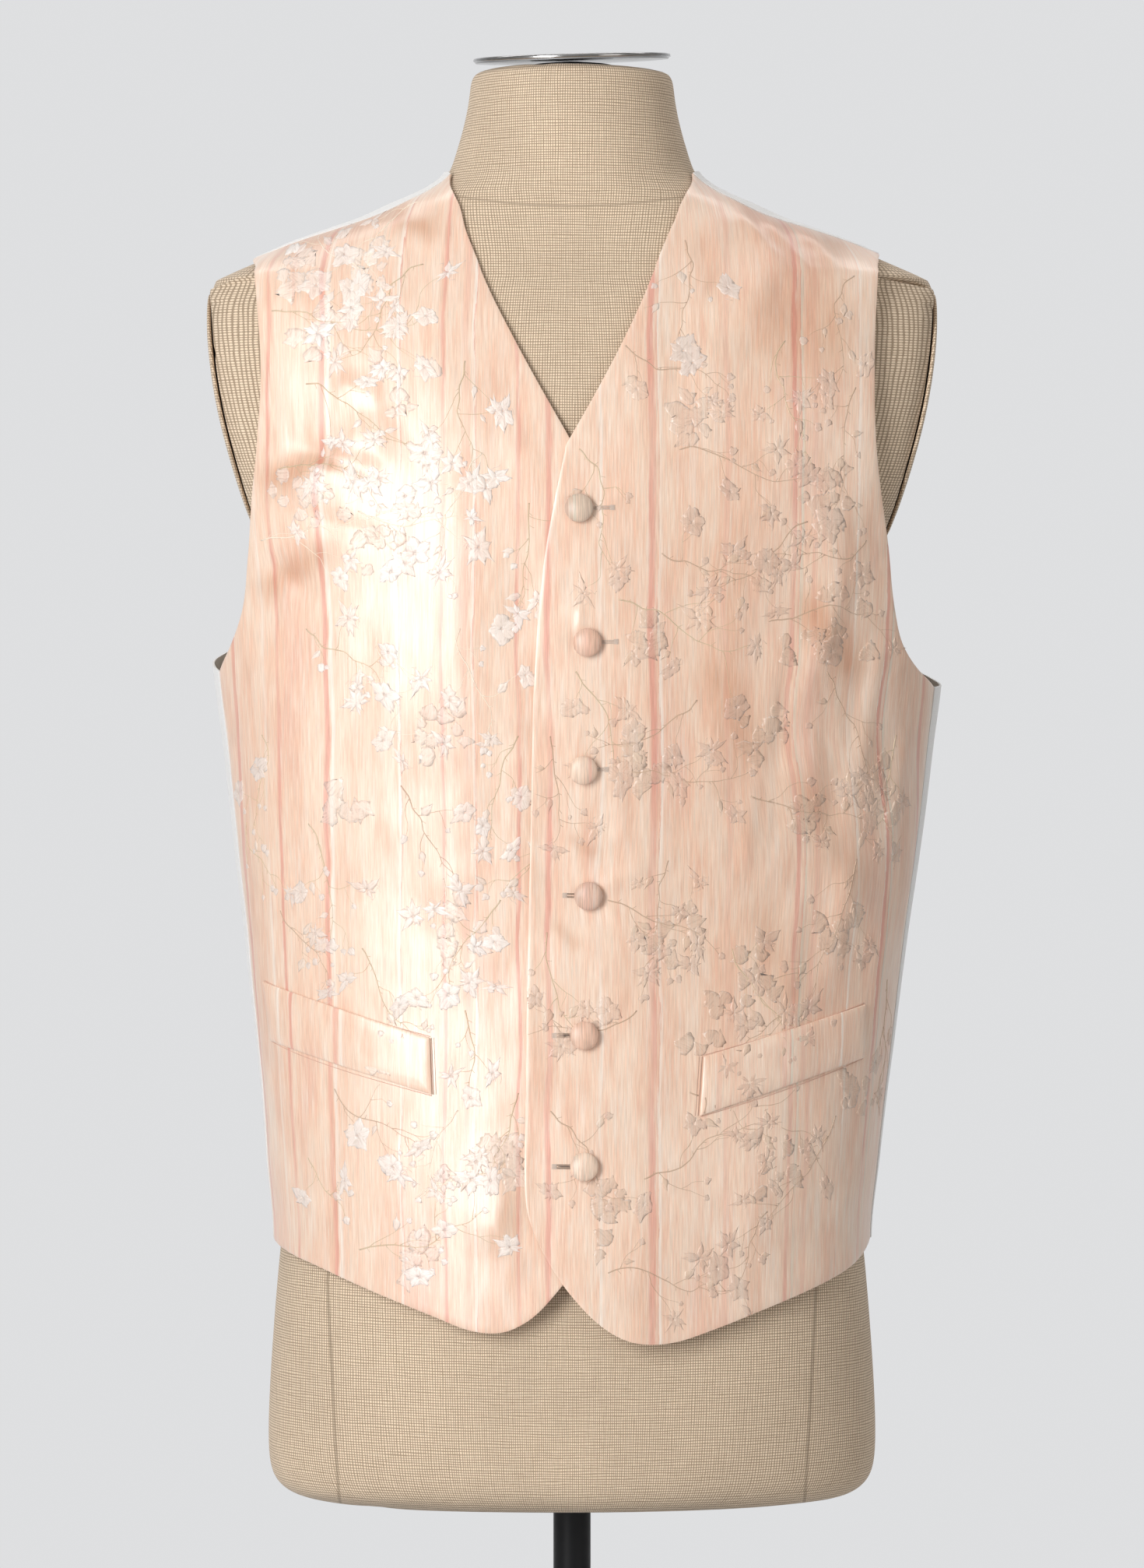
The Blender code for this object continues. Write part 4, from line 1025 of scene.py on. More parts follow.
def linenMaterial(name, mapName, withSeams):
    material, tree, shader = startMaterial(name, 0.9, 0.12, 0.25)
    place = onMap(tree, mapName)
    pitch = linen["thread"] * mm
    split = addNode(tree, "ShaderNodeSeparateXYZ")
    tree.links.new(place, split.inputs[0])
    jitterAcross = times(tree, stretchedNoise(tree, place, (220.0, 30.0, 1.0), 2.0), 0.0016)
    jitterUp = times(tree, stretchedNoise(tree, place, (30.0, 220.0, 1.0), 2.0), 0.0016)
    waves = []
    for axis, jitter in (("X", jitterAcross), ("Y", jitterUp)):
        turned = times(tree, plus(tree, split.outputs[axis], jitter), 2 * math.pi / pitch)
        waves.append(times(tree, plus(tree, mathNode(tree, "SINE", turned), 1.0), 0.5))
    weft = stretchedNoise(tree, place, (420.0, 1000.0, 1.0), 2.0, 0.7)
    warp = stretchedNoise(tree, place, (1000.0, 420.0, 1.0), 2.0, 0.7)
    slub = ramp(tree, stretchedNoise(tree, place, (45.0, 420.0, 1.0), 3.0, 0.7), ((0.60, 0.0), (0.74, 1.0)))
    grid = times(tree, waves[0], waves[1])
    threads = plus(tree, times(tree, weft, 0.5), times(tree, warp, 0.5))
    cover = plus(tree, times(tree, grid, 0.75), times(tree, threads, 0.2))
    color = ramp(tree, cover, ((0.04, linen["dark"]), (0.42, linen["light"])))
    color = mixColor(tree, times(tree, slub, 0.3), color, (0.72, 0.60, 0.46))
    cloudy = ramp(tree, stretchedNoise(tree, place, (11.0, 8.0, 1.0), 2.0), ((0.3, 0.92), (0.7, 1.04)))
    color = mixColor(tree, 1.0, color, cloudy, "MULTIPLY")
    height = plus(tree, cover, times(tree, slub, 0.3))
    if withSeams:
        dots = ramp(tree, waves[0], ((0.35, 0.35), (0.75, 1.0)))
        for seamName, breadth, depth in (("princess", 0.13, 0.45), ("neckline", 0.11, 0.42)):
            away = keptOnPoints(tree, seamName)
            away = mathNode(tree, "DIVIDE", mathNode(tree, "ABSOLUTE", away), 10.0, clamp=True)
            seam = ramp(tree, away, ((0.0, 1.0), (0.4 * breadth, 1.0), (breadth, 0.0)))
            if seamName == "neckline":
                seam = times(tree, seam, dots)
            color = mixColor(tree, times(tree, seam, depth), color, linen["seam"])
            height = mathNode(tree, "SUBTRACT", height, times(tree, seam, 0.8))
    tree.links.new(color, shader.inputs["Base Color"])
    threadBump(tree, shader, height, 0.4, 0.0003)
    return material


satinCloth = satinMaterial("streaked_satin", satin["roughness"])
blossomCloth = motifMaterial("woven_blossom", 0.34)
whiteSatin = whiteSatinMaterial()
linenCloth = linenMaterial("linen_weave", "weave", True)
print("cloth materials ready")


# Fronts
density = {"columns": 7, "rows": 9, "backColumns": 5, "backRows": 5}

frontColumns = 16
sideRows = 16
panelRows = 30
backColumns = 34
backUnderColumns = 4
backArmholeRows = 18
shoulderColumns = 6


def shoulderChart(side):
    return chartShoulder(frontCuts[side]["shoulder"])


def frontChart(side):
    cut = frontCuts[side]
    rows, columns = density["rows"], density["columns"]
    seam = sideSeam(cut["side"], cut["underZ"])
    corner = chartFront([cut["hem"][-1]])[0]
    point = chartFront([cut["point"]])[0]
    shoulder = shoulderChart(side)
    start = joinedCurve([
        ([corner] + chartFront(cut["edge"]) + [point], even(cut["edgeRows"] * rows)),
        ([point] + chartFront(cut["neck"]) + [shoulder[0]], closerToEnd(cut["neckRows"] * rows)),
    ])
    armhole = [seam[-1]] + chartFront(cut["armhole"]) + [shoulder[-1]]
    end = joinedCurve([
        (seam, even(sideRows * rows)),
        (armhole, closerToEnd((panelRows - sideRows) * rows)),
    ])
    bottom = curveSamples(list(reversed([seam[0]] + chartFront(cut["hem"]))), even(frontColumns * columns))
    top = curveSamples(shoulder, even(frontColumns * columns))
    return coons(bottom, top, start, end)


def edgeDistance(points):
    # How far each point of a panel's grid is from the panel's nearest edge, along the grid
    down = np.linalg.norm(np.diff(points, axis=0), axis=-1)
    over = np.linalg.norm(np.diff(points, axis=1), axis=-1)
    fromBottom = np.vstack([np.zeros((1, points.shape[1])), np.cumsum(down, axis=0)])
    fromStart = np.hstack([np.zeros((points.shape[0], 1)), np.cumsum(over, axis=1)])
    return np.minimum.reduce([
        fromBottom, fromBottom[-1:] - fromBottom, fromStart, fromStart[:, -1:] - fromStart,
    ])


def makeFront(side):
    cut = frontCuts[side]
    chart = frontChart(side)
    turn = chart[..., 0] / turnScale
    z = chart[..., 1]
    away = edgeDistance(clothBase(turn, z))
    sink = -garment["edgeRoll"] * (1 - ease(away / garment["edgeRollWidth"]))
    outer = frontSurface(turn, z, sink, cut["lifted"])
    inner = frontSurface(turn, z, -garment["frontWall"] - 0.3 * sink, cut["lifted"])
    rowCount, columnCount = z.shape
    seamRows = np.arange(sideRows * density["rows"] + 1)
    for grid in (outer, inner):
        pullEdge(grid, np.full(columnCount, rowCount - 1), np.arange(columnCount), -1, 0)
        pullEdge(grid, seamRows, np.full(len(seamRows), columnCount - 1), 0, -1)
    flat = stripePlace(turn, z)
    # Painted shade over the folds, shoulders and sides, kept on the points for the satin's colour
    shade = foldHeight(outer[..., 0], z, paintedShadeRows).clip(0, 1).ravel()
    piece = makeShell(
        "front_%s_cloth" % side, outer, inner, shellFaces(rowCount, columnCount), satinCloth, flat,
        garment["frontRim"], {"painted_shade": np.concatenate([shade, shade])},
    )
    return declare(piece, "front_" + side), chart


frontPieces = {}
frontCharts = {}
for side in ("left", "right"):
    frontPieces[side], frontCharts[side] = makeFront(side)
print("fronts made")


# Back
def onCloth(chart):
    return clothBase(chart[..., 0] / turnScale, chart[..., 1])


def makeBack():
    rows, columns = density["backRows"], density["backColumns"]
    leftCut, rightCut = frontCuts["left"], frontCuts["right"]
    seamLeft = sideSeam(1, leftCut["underZ"])
    seamRight = sideSeam(-1, rightCut["underZ"])
    shoulderLeft = shoulderChart("left")
    shoulderRight = shoulderChart("right")
    cornerLeft = chartBack(backCut["armholeLeft"][:1])[0]
    cornerRight = turnedRound(chartBack(backCut["armholeRight"][:1]))[0]
    runLeft = [seamLeft[-1]] + chartTurns(backCut["underLeft"]) + [cornerLeft]
    runRight = turnedRound([seamRight[-1]] + chartTurns(backCut["underRight"])) + [cornerRight]
    under = backUnderColumns * columns
    upperColumns = backColumns * columns - 2 * under
    acrossBack = curveSamples([cornerLeft, cornerRight], even(upperColumns))
    lowerTop = np.vstack([
        curveSamples(runLeft, even(under))[:-1], acrossBack, curveSamples(runRight, even(under))[-2::-1],
    ])
    turns = np.linspace(seamLeft[0][0], turnedRound(seamRight)[0][0], backColumns * columns + 1)
    lowerBottom = np.stack([turns, np.full(len(turns), garment["hemZ"])], axis=-1)
    lowerRows = sideRows * rows
    lower = onCloth(coons(
        lowerBottom, lowerTop,
        curveSamples(seamLeft, even(lowerRows)), curveSamples(turnedRound(seamRight), even(lowerRows)),
    ))
    neckLeft = [shoulderLeft[0]] + chartTurns(backCut["neck"])
    neckRight = [(fullTurn - turn, z) for turn, z in reversed(chartTurns(backCut["neck"])[:-1])]
    neckRight += turnedRound(shoulderRight[:1])
    shoulder = shoulderColumns * columns
    upperTop = onCloth(joinedCurve([
        (list(reversed(shoulderLeft)), even(shoulder)),
        (neckLeft + neckRight, even(upperColumns - 2 * shoulder)),
        (turnedRound(shoulderRight), even(shoulder)),
    ]))
    upperRows = backArmholeRows * rows
    upperStart = onCloth(curveSamples(
        chartBack(backCut["armholeLeft"]) + chartShoulder(backCut["tipLeft"]) + [shoulderLeft[-1]],
        closerToEnd(upperRows),
    ))
    upperEnd = onCloth(curveSamples(
        chartBack(backCut["armholeRight"]) + chartShoulder(backCut["tipRight"]) + [shoulderRight[-1]],
        closerToEnd(upperRows),
    ))
    upper = coons(onCloth(acrossBack), upperTop, upperStart, upperEnd, 0.25)
    upper[1:-1, 1:-1] = ontoSurface(upper[1:-1, 1:-1])
    base = np.zeros((lowerRows + upperRows + 1, backColumns * columns + 1, 3))
    base[:lowerRows + 1] = lower
    base[lowerRows:, under:-under] = upper
    active = np.ones((base.shape[0] - 1, base.shape[1] - 1), bool)
    active[lowerRows:, :under] = False
    active[lowerRows:, -under:] = False
    base[lowerRows + 1:, :under] = base[0, 0]
    base[lowerRows + 1:, -under:] = base[0, 0]
    outward = surfaceSlope(base)
    outward /= np.linalg.norm(outward, axis=-1, keepdims=True)
    x, y, z = base[..., 0], base[..., 1], base[..., 2]
    height = foldHeight(x, z, backFolds) * ease((y - 20.0) / 25.0) + 0.5 * ease((y - 20.0) / 25.0)
    height = height + np.abs(softUnevenness(x + 300.0, z)) * ease((y - 20.0) / 25.0)
    outer = base + outward * height[..., None]
    inner = base + outward * (height - garment["backWall"])[..., None]
    seamRows = np.arange(lowerRows + 1)
    last = base.shape[1] - 1
    top = base.shape[0] - 1
    shoulderSpans = np.concatenate([
        np.arange(under, under + shoulder + 1), np.arange(last - under - shoulder, last - under + 1),
    ])
    for grid in (outer, inner):
        pullEdge(grid, seamRows, np.zeros(len(seamRows), int), 0, 1)
        pullEdge(grid, seamRows, np.full(len(seamRows), last), 0, -1)
        pullEdge(grid, np.full(len(shoulderSpans), top), shoulderSpans, -1, 0)
    flat = np.stack([np.arctan2(x, -y) * turnScale, z], axis=-1)
    flat[..., 0] = np.where(flat[..., 0] < 0, flat[..., 0] + fullTurn, flat[..., 0])
    faces = shellFaces(base.shape[0], base.shape[1], active)
    piece = makeShell("back_cloth", outer, inner, faces, whiteSatin, flat, garment["otherRim"])
    return declare(piece, "back")


backPiece = makeBack()
print("back made")

# Pocket welts: corners as x and z, top outer, top inner, bottom inner, bottom outer
welts = {
    "left": ((166.0, 486.7), (73.6, 459.9), (71.4, 426.7), (165.2, 456.2)),
    "right": ((-176.0, 499.0), (-79.8, 470.3), (-78.5, 438.5), (-171.4, 465.3)),
}


def makeWelt(side):
    topOut, topIn, lowIn, lowOut = [np.array(corner) for corner in welts[side]]
    lifted = frontCuts[side]["lifted"]
    across = np.linspace(0, 1, 97)[None, :, None]
    rise = np.linspace(0, 1, 33)[:, None, None]
    plan = (1 - rise) * ((1 - across) * lowIn + across * lowOut)
    plan = plan + rise * ((1 - across) * topIn + across * topOut)
    turn = turnOf(plan[..., 0], plan[..., 1])
    z = plan[..., 1]
    base = clothBase(turn, z)
    away = edgeDistance(base)
    # Padded by its own facing: a little higher along the middle, pressed flat at the seams
    swell = 0.5 * ease(away / 7.0) - 0.5 * (1 - ease(away / 1.8))
    low = frontSurface(turn, z, garment["layerGap"], lifted)
    high = frontSurface(turn, z, garment["layerGap"] + garment["weltWall"] + swell, lifted)
    flat = stripePlace(turn, z)
    flat[..., 0] += 5.0 * (1 if side == "left" else -1)
    faces = shellFaces(*z.shape)
    piece = makeShell("welt_%s_cloth" % side, high, low, faces, satinCloth, flat, garment["otherRim"])
    return declare(piece, "welt_" + side)


weltPieces = {side: makeWelt(side) for side in ("left", "right")}
print("welts made")


# Woven blossom sprays, in the panel's own flat measure: arc length from the centre front, and z
sprayLook = {
    "petals": 5,
    "blossomRadius": (8.0, 11.5),
    "relief": 0.2,
    "twigWidth": (1.15, 0.5),
    # Painted sheen: the pale tint and the pale twig are the blossoms and twigs as the key light whitens them;
    # the taupe, ghost and brown colours are as in the half shade
    "glossLitTint": (0.97, 0.92, 0.88),
    "taupeTint": (0.56, 0.42, 0.35),
    "ghostTint": (0.55, 0.42, 0.33),
    "darkSeamAndShadow": (0.36, 0.20, 0.14),
    "roseSeamAndShade": (0.68, 0.38, 0.29),
    "glossLitTwig": (0.95, 0.85, 0.70),
    "brownTwig": (0.52, 0.36, 0.24),
    "oliveTwig": (0.60, 0.48, 0.30),
}

# Where a spray starts (x and z seen from the front), its heading in degrees, its length,
# how many blossoms it bears, and how pale it is, which is painted sheen: 1 where the key light would whiten
# it, 0 for the taupe of the half shade
sprays = {
    "right": (
        (-170.0, 880.0, 18.0, 92.0, 7, 1.0), (-84.0, 906.0, 200.0, 78.0, 6, 1.0),
        (-150.0, 838.0, 350.0, 84.0, 6, 1.0), (-60.0, 850.0, 250.0, 70.0, 6, 1.0),
        (-165.0, 790.0, 24.0, 60.0, 4, 1.0), (-176.0, 750.0, 12.0, 92.0, 8, 1.0),
        (-120.0, 766.0, 332.0, 66.0, 5, 1.0), (-50.0, 798.0, 236.0, 74.0, 4, 1.0),
        (-24.0, 770.0, 262.0, 60.0, 3, 0.9), (-150.0, 700.0, 300.0, 62.0, 4, 1.0),
        (-110.0, 690.0, 284.0, 66.0, 5, 1.0), (-62.0, 700.0, 256.0, 64.0, 3, 0.9),
        (-176.0, 640.0, 292.0, 60.0, 2, 0.6), (-96.0, 612.0, 300.0, 60.0, 2, 0.8),
        (-30.0, 640.0, 238.0, 66.0, 4, 0.8), (-148.0, 590.0, 316.0, 70.0, 3, 0.7),
        (-72.0, 560.0, 300.0, 60.0, 4, 1.0), (-40.0, 548.0, 254.0, 60.0, 5, 1.0),
        (-166.0, 540.0, 286.0, 58.0, 2, 0.6), (-118.0, 520.0, 318.0, 58.0, 2, 0.7),
        (-60.0, 486.0, 286.0, 48.0, 3, 1.0), (-134.0, 440.0, 304.0, 62.0, 3, 0.8),
        (-64.0, 430.0, 222.0, 56.0, 2, 0.9), (-30.0, 440.0, 262.0, 60.0, 1, 0.6),
        (-120.0, 350.0, 12.0, 84.0, 5, 1.0), (-150.0, 400.0, 296.0, 44.0, 2, 0.8),
        (-186.0, 590.0, 268.0, 52.0, 1, 0.6), (-88.0, 380.0, 20.0, 46.0, 2, 0.9),
        (0.0, 740.0, 250.0, 56.0, 3, 0.7), (-6.0, 600.0, 262.0, 60.0, 2, 0.6),
        (-88.0, 944.0, 200.0, 62.0, 5, 1.0), (-120.0, 904.0, 164.0, 52.0, 4, 1.0),
    ),
    "left": (
        (64.0, 920.0, 300.0, 64.0, 3, 0.55), (160.0, 900.0, 214.0, 74.0, 3, 0.4),
        (30.0, 858.0, 318.0, 70.0, 3, 0.25), (120.0, 862.0, 238.0, 78.0, 3, 0.2),
        (160.0, 836.0, 246.0, 74.0, 3, 0.1), (4.0, 800.0, 330.0, 72.0, 3, 0.1),
        (60.0, 800.0, 12.0, 76.0, 4, 0.0), (132.0, 760.0, 200.0, 82.0, 4, 0.0),
        (50.0, 742.0, 312.0, 58.0, 3, 0.0), (166.0, 750.0, 238.0, 66.0, 3, 0.0),
        (26.0, 716.0, 348.0, 84.0, 4, 0.0), (110.0, 704.0, 26.0, 74.0, 3, 0.0),
        (2.0, 676.0, 318.0, 62.0, 4, 0.0), (70.0, 660.0, 214.0, 66.0, 3, 0.0),
        (142.0, 676.0, 286.0, 78.0, 4, 0.0), (184.0, 640.0, 246.0, 66.0, 3, 0.0),
        (30.0, 620.0, 12.0, 72.0, 4, 0.0), (-12.0, 640.0, 262.0, 62.0, 3, 0.1),
        (100.0, 606.0, 320.0, 76.0, 4, 0.0), (54.0, 570.0, 236.0, 62.0, 4, 0.0),
        (160.0, 570.0, 250.0, 82.0, 4, 0.0), (20.0, 548.0, 330.0, 72.0, 4, 0.0),
        (90.0, 520.0, 300.0, 70.0, 4, 0.0), (-14.0, 530.0, 284.0, 60.0, 3, 0.0),
        (140.0, 490.0, 200.0, 70.0, 4, 0.0), (36.0, 486.0, 244.0, 66.0, 3, 0.0),
        (180.0, 500.0, 262.0, 66.0, 3, 0.0), (66.0, 440.0, 318.0, 70.0, 4, 0.0),
        (-12.0, 430.0, 320.0, 64.0, 3, 0.1), (150.0, 424.0, 236.0, 74.0, 4, 0.0),
        (40.0, 392.0, 8.0, 80.0, 3, 0.0), (20.0, 340.0, 24.0, 70.0, 3, 0.0),
        (110.0, 372.0, 210.0, 60.0, 3, 0.0),
    ),
}


# Soft silhouettes behind the sprays: x and z seen from the front, reach, how pale, which is painted sheen as
# for the sprays
ghosts = {
    "right": (
        (-140.0, 868.0, 16.0, 1.0), (-96.0, 838.0, 18.0, 1.0),
        (-150.0, 770.0, 20.0, 1.0), (-104.0, 748.0, 16.0, 1.0),
        (-70.0, 640.0, 14.0, 0.8), (-128.0, 600.0, 13.0, 0.6),
        (-62.0, 530.0, 16.0, 1.0), (-98.0, 452.0, 12.0, 0.8),
        (-88.0, 350.0, 16.0, 1.0), (-40.0, 400.0, 12.0, 0.6),
        (-112.0, 906.0, 17.0, 1.0), (-158.0, 902.0, 13.0, 1.0),
    ),
    "left": (
        (148.0, 776.0, 17.0, 0.1), (158.0, 706.0, 22.0, 0.0),
        (126.0, 684.0, 18.0, 0.0), (176.0, 604.0, 18.0, 0.0),
        (108.0, 640.0, 16.0, 0.0), (132.0, 596.0, 14.0, 0.0),
        (54.0, 524.0, 20.0, 0.0), (96.0, 500.0, 20.0, 0.0),
        (150.0, 528.0, 16.0, 0.0), (80.0, 470.0, 15.0, 0.0),
        (38.0, 620.0, 12.0, 0.0), (20.0, 370.0, 17.0, 0.0),
        (118.0, 400.0, 18.0, 0.0), (158.0, 436.0, 13.0, 0.0),
        (70.0, 822.0, 14.0, 0.2), (44.0, 690.0, 12.0, 0.0),
    ),
}


def insidePolygon(points, polygon):
    x, y = points[..., 0, None], points[..., 1, None]
    x0, y0 = polygon.T
    x1, y1 = np.roll(polygon, -1, axis=0).T
    crosses = (y0 > y) != (y1 > y)
    rise = np.where(y1 == y0, 1e-9, y1 - y0)
    return (crosses & (x < (x1 - x0) * (y - y0) / rise + x0)).sum(axis=-1) % 2 == 1


class Motifs:
    # Gathers the blossoms and twigs of one panel as thin closed shapes on its cloth
    def __init__(self, side):
        self.lifted = frontCuts[side]["lifted"]
        chart = frontCharts[side]
        border = np.concatenate([chart[0, :], chart[1:, -1], chart[-1, -2::-1], chart[-2:0:-1, 0]])[::6]
        self.border = np.stack([arcAt(border[:, 0] / turnScale, border[:, 1]), border[:, 1]], axis=-1)
        corners = np.array(welts[side])
        turns = turnOf(corners[:, 0], corners[:, 1])
        self.welt = np.stack([arcAt(turns, corners[:, 1]), corners[:, 1]], axis=-1)
        self.flats, self.heights, self.faces, self.petals = [], [], [], []
        self.tints, self.veils, self.rims = [], [], []
        self.count = 0

    def fits(self, outline):
        if not insidePolygon(outline, self.border).all():
            return False
        onWelt = insidePolygon(outline, self.welt)
        return onWelt.all() or not onWelt.any()

    def add(self, flat, height, faces, petal, tint, veil, rim):
        flat = flat.reshape(-1, 2)
        onWelt = insidePolygon(flat, self.welt).all()
        lift = garment["layerGap"] + garment["weltWall"] + 0.35 if onWelt else 0.0
        self.flats.append(flat)
        self.heights.append(np.asarray(height).reshape(-1) + lift)
        self.faces += [[i + self.count for i in face] for face in faces]
        size = len(flat)
        self.petals.append(petal.reshape(-1, 2))
        self.tints.append(np.broadcast_to(tint, (size, 3)))
        self.veils.append(np.broadcast_to(veil, (size,)))
        self.rims.append(np.asarray(rim).reshape(-1))
        self.count += size

    def finish(self, name):
        flats = np.concatenate(self.flats)
        turn = turnAtArc(flats[:, 0], flats[:, 1])
        points = frontSurface(turn, flats[:, 1], np.concatenate(self.heights), self.lifted)
        # The blossoms take the same painted shade as the cloth under them
        piece = makePiece(
            name, points, self.faces, blossomCloth,
            {"cloth": stripePlace(turn, flats[:, 1]), "petal": np.concatenate(self.petals)},
            {"tint": np.concatenate(self.tints), "veil": np.concatenate(self.veils),
             "rim": np.concatenate(self.rims),
             "painted_shade": foldHeight(points[:, 0], points[:, 2], paintedShadeRows).clip(0, 1)},
        )
        return declare(piece)


petalRows = 7
petalColumns = 5
petalGrid = np.arange(petalRows * petalColumns).reshape(petalRows, petalColumns)
petalLoop = np.concatenate([
    petalGrid[0, :-1], petalGrid[:-1, -1], petalGrid[-1, :0:-1], petalGrid[:0:-1, 0],
])
under = petalGrid.size + np.arange(len(petalLoop))
petalFaces = np.stack([
    petalGrid[:-1, :-1], petalGrid[1:, :-1], petalGrid[1:, 1:], petalGrid[:-1, 1:],
], axis=-1)
petalFaces = petalFaces.reshape(-1, 4).tolist()
petalFaces += np.stack([petalLoop, np.roll(petalLoop, -1), np.roll(under, -1), under], axis=-1).tolist()
petalFaces.append(under.tolist())
petalRise, petalAcross = np.meshgrid(
    np.linspace(0, 1, petalRows), np.linspace(-1, 1, petalColumns), indexing="ij",
)
petalBreadth = np.sin(np.pi * np.clip(petalRise, 0.0, 1.0) ** 0.72 * 0.86 + 0.12) ** 0.8
petalPoint = np.sin(np.pi * np.clip(petalRise, 0.03, 0.97) ** 0.85)
petalRim = np.maximum(np.abs(petalAcross), np.maximum(petalRise, 1 - petalRise) * 2 - 1) ** 3


def addPetal(motifs, centre, radius, heading, slimness, squash, tilt, tint, veil, rng,
             point=0.0, ragged=0.3, rise=1.0):
    # point turns the round petal into a pointed one; ragged is how unevenly its edge is woven
    sides = [[1 + ragged * rng.uniform(-1, 0.7) for _ in range(petalRows)] for _ in range(2)]
    sides = np.array(sides)[..., None]
    tip = np.array([1 + 0.5 * ragged * rng.uniform(-1, 0.8) for _ in range(petalColumns)])
    notch = 0.08 * (1 - point) * (1 - np.abs(petalAcross)) * petalRise ** 6
    bulge = 0.10 * np.sin(3 * petalAcross + rng.uniform(0, 6)) * petalRise ** 2
    bow = 0.25 * rng.uniform(-1, 1) * petalRise ** 2
    along = 0.04 + 0.96 * petalRise - notch - 0.2 * petalAcross ** 2 * petalRise + 0.06 * bulge
    along = radius * along * (1 + (tip - 1) * petalRise ** 3)
    breadth = (1 - point) * petalBreadth + point * petalPoint
    uneven = np.where(petalAcross < 0, sides[0], sides[1])
    across = radius * (slimness * petalAcross * breadth * uneven * (1 + 0.5 * bulge) + bow * slimness)
    local = np.stack([along * math.cos(heading) - across * math.sin(heading),
                      along * math.sin(heading) + across * math.cos(heading)], axis=-1)
    # Seen a little from the side: squashed across the flower's own tilt
    axis = np.array([math.cos(tilt), math.sin(tilt)])
    local = local - np.outer((local.reshape(-1, 2) @ axis) * (1 - squash), axis).reshape(local.shape)
    flat = centre + local
    if not motifs.fits(flat[:, ::2].reshape(-1, 2)):
        return
    relief = sprayLook["relief"] * (1 - petalAcross ** 2) * np.sin(np.pi * petalRise ** 0.8)
    ripple = np.sin(7 * petalAcross + 3 * petalRise + rng.uniform(0, 6))
    relief = relief + 0.06 * ripple * (1 - petalAcross ** 2)
    top = 0.05 + rise * (0.02 + np.maximum(relief, 0.0))
    petal = np.stack([across + rng.uniform(0, 400), along], axis=-1).reshape(-1, 2)
    shade = 1 - 0.10 * rng.random() - 0.10 * (1 - petalRise)
    tints = np.array(tint) * shade.reshape(-1, 1)
    flat = flat.reshape(-1, 2)
    order = np.concatenate([np.arange(len(flat)), petalLoop])
    heights = np.concatenate([top.ravel(), np.full(len(petalLoop), -0.25)])
    motifs.add(flat[order], heights, petalFaces, petal[order], tints[order], veil, petalRim.ravel()[order])


def addRibbon(motifs, path, widths, tint, veil, relief=0.2):
    # A twig or a stamen: a slim closed ridge along a path
    path = np.asarray(path, float)
    forward = np.gradient(path, axis=0)
    forward /= np.maximum(np.linalg.norm(forward, axis=1, keepdims=True), 1e-9)
    across = np.stack([-forward[:, 1], forward[:, 0]], axis=-1)
    inside = insidePolygon(path, motifs.border)
    if not inside.all():
        keep = int(np.argmin(inside))
        if keep < 4:
            return
        path, across, widths = path[:keep - 1], across[:keep - 1], widths[:keep - 1]
    onWelt = insidePolygon(path, motifs.welt)
    if onWelt.any() and not onWelt.all():
        keep = int(np.argmax(onWelt != onWelt[0]))
        if keep < 4:
            return
        path, across, widths = path[:keep], across[:keep], widths[:keep]
    half = np.asarray(widths)[:, None] / 2
    flat = np.stack([path + across * half, path, path - across * half], axis=1)
    heights = np.stack([0 * half[:, 0] - 0.1, 0.08 + relief * half[:, 0] * 1.6, 0 * half[:, 0] - 0.1], axis=1)
    n = len(path)
    faces = []
    for i in range(n - 1):
        for k in range(3):
            a, b = i * 3 + k, i * 3 + (k + 1) % 3
            faces.append((a, b, b + 3, a + 3))
    faces.append((2, 1, 0))
    faces.append((n * 3 - 3, n * 3 - 2, n * 3 - 1))
    run = np.concatenate([[0], np.cumsum(np.linalg.norm(np.diff(path, axis=0), axis=1))])
    petal = np.stack([np.tile([-0.5, 0, 0.5], (n, 1)), np.tile(run[:, None], (1, 3))], axis=-1)
    rim = np.tile([1.0, 0.0, 1.0], (n, 1))
    motifs.add(flat.reshape(-1, 2), heights.ravel(), faces, petal, np.array(tint), veil, rim)


def mixTint(pale, first, second):
    return tuple(a * pale + b * (1 - pale) for a, b in zip(first, second))


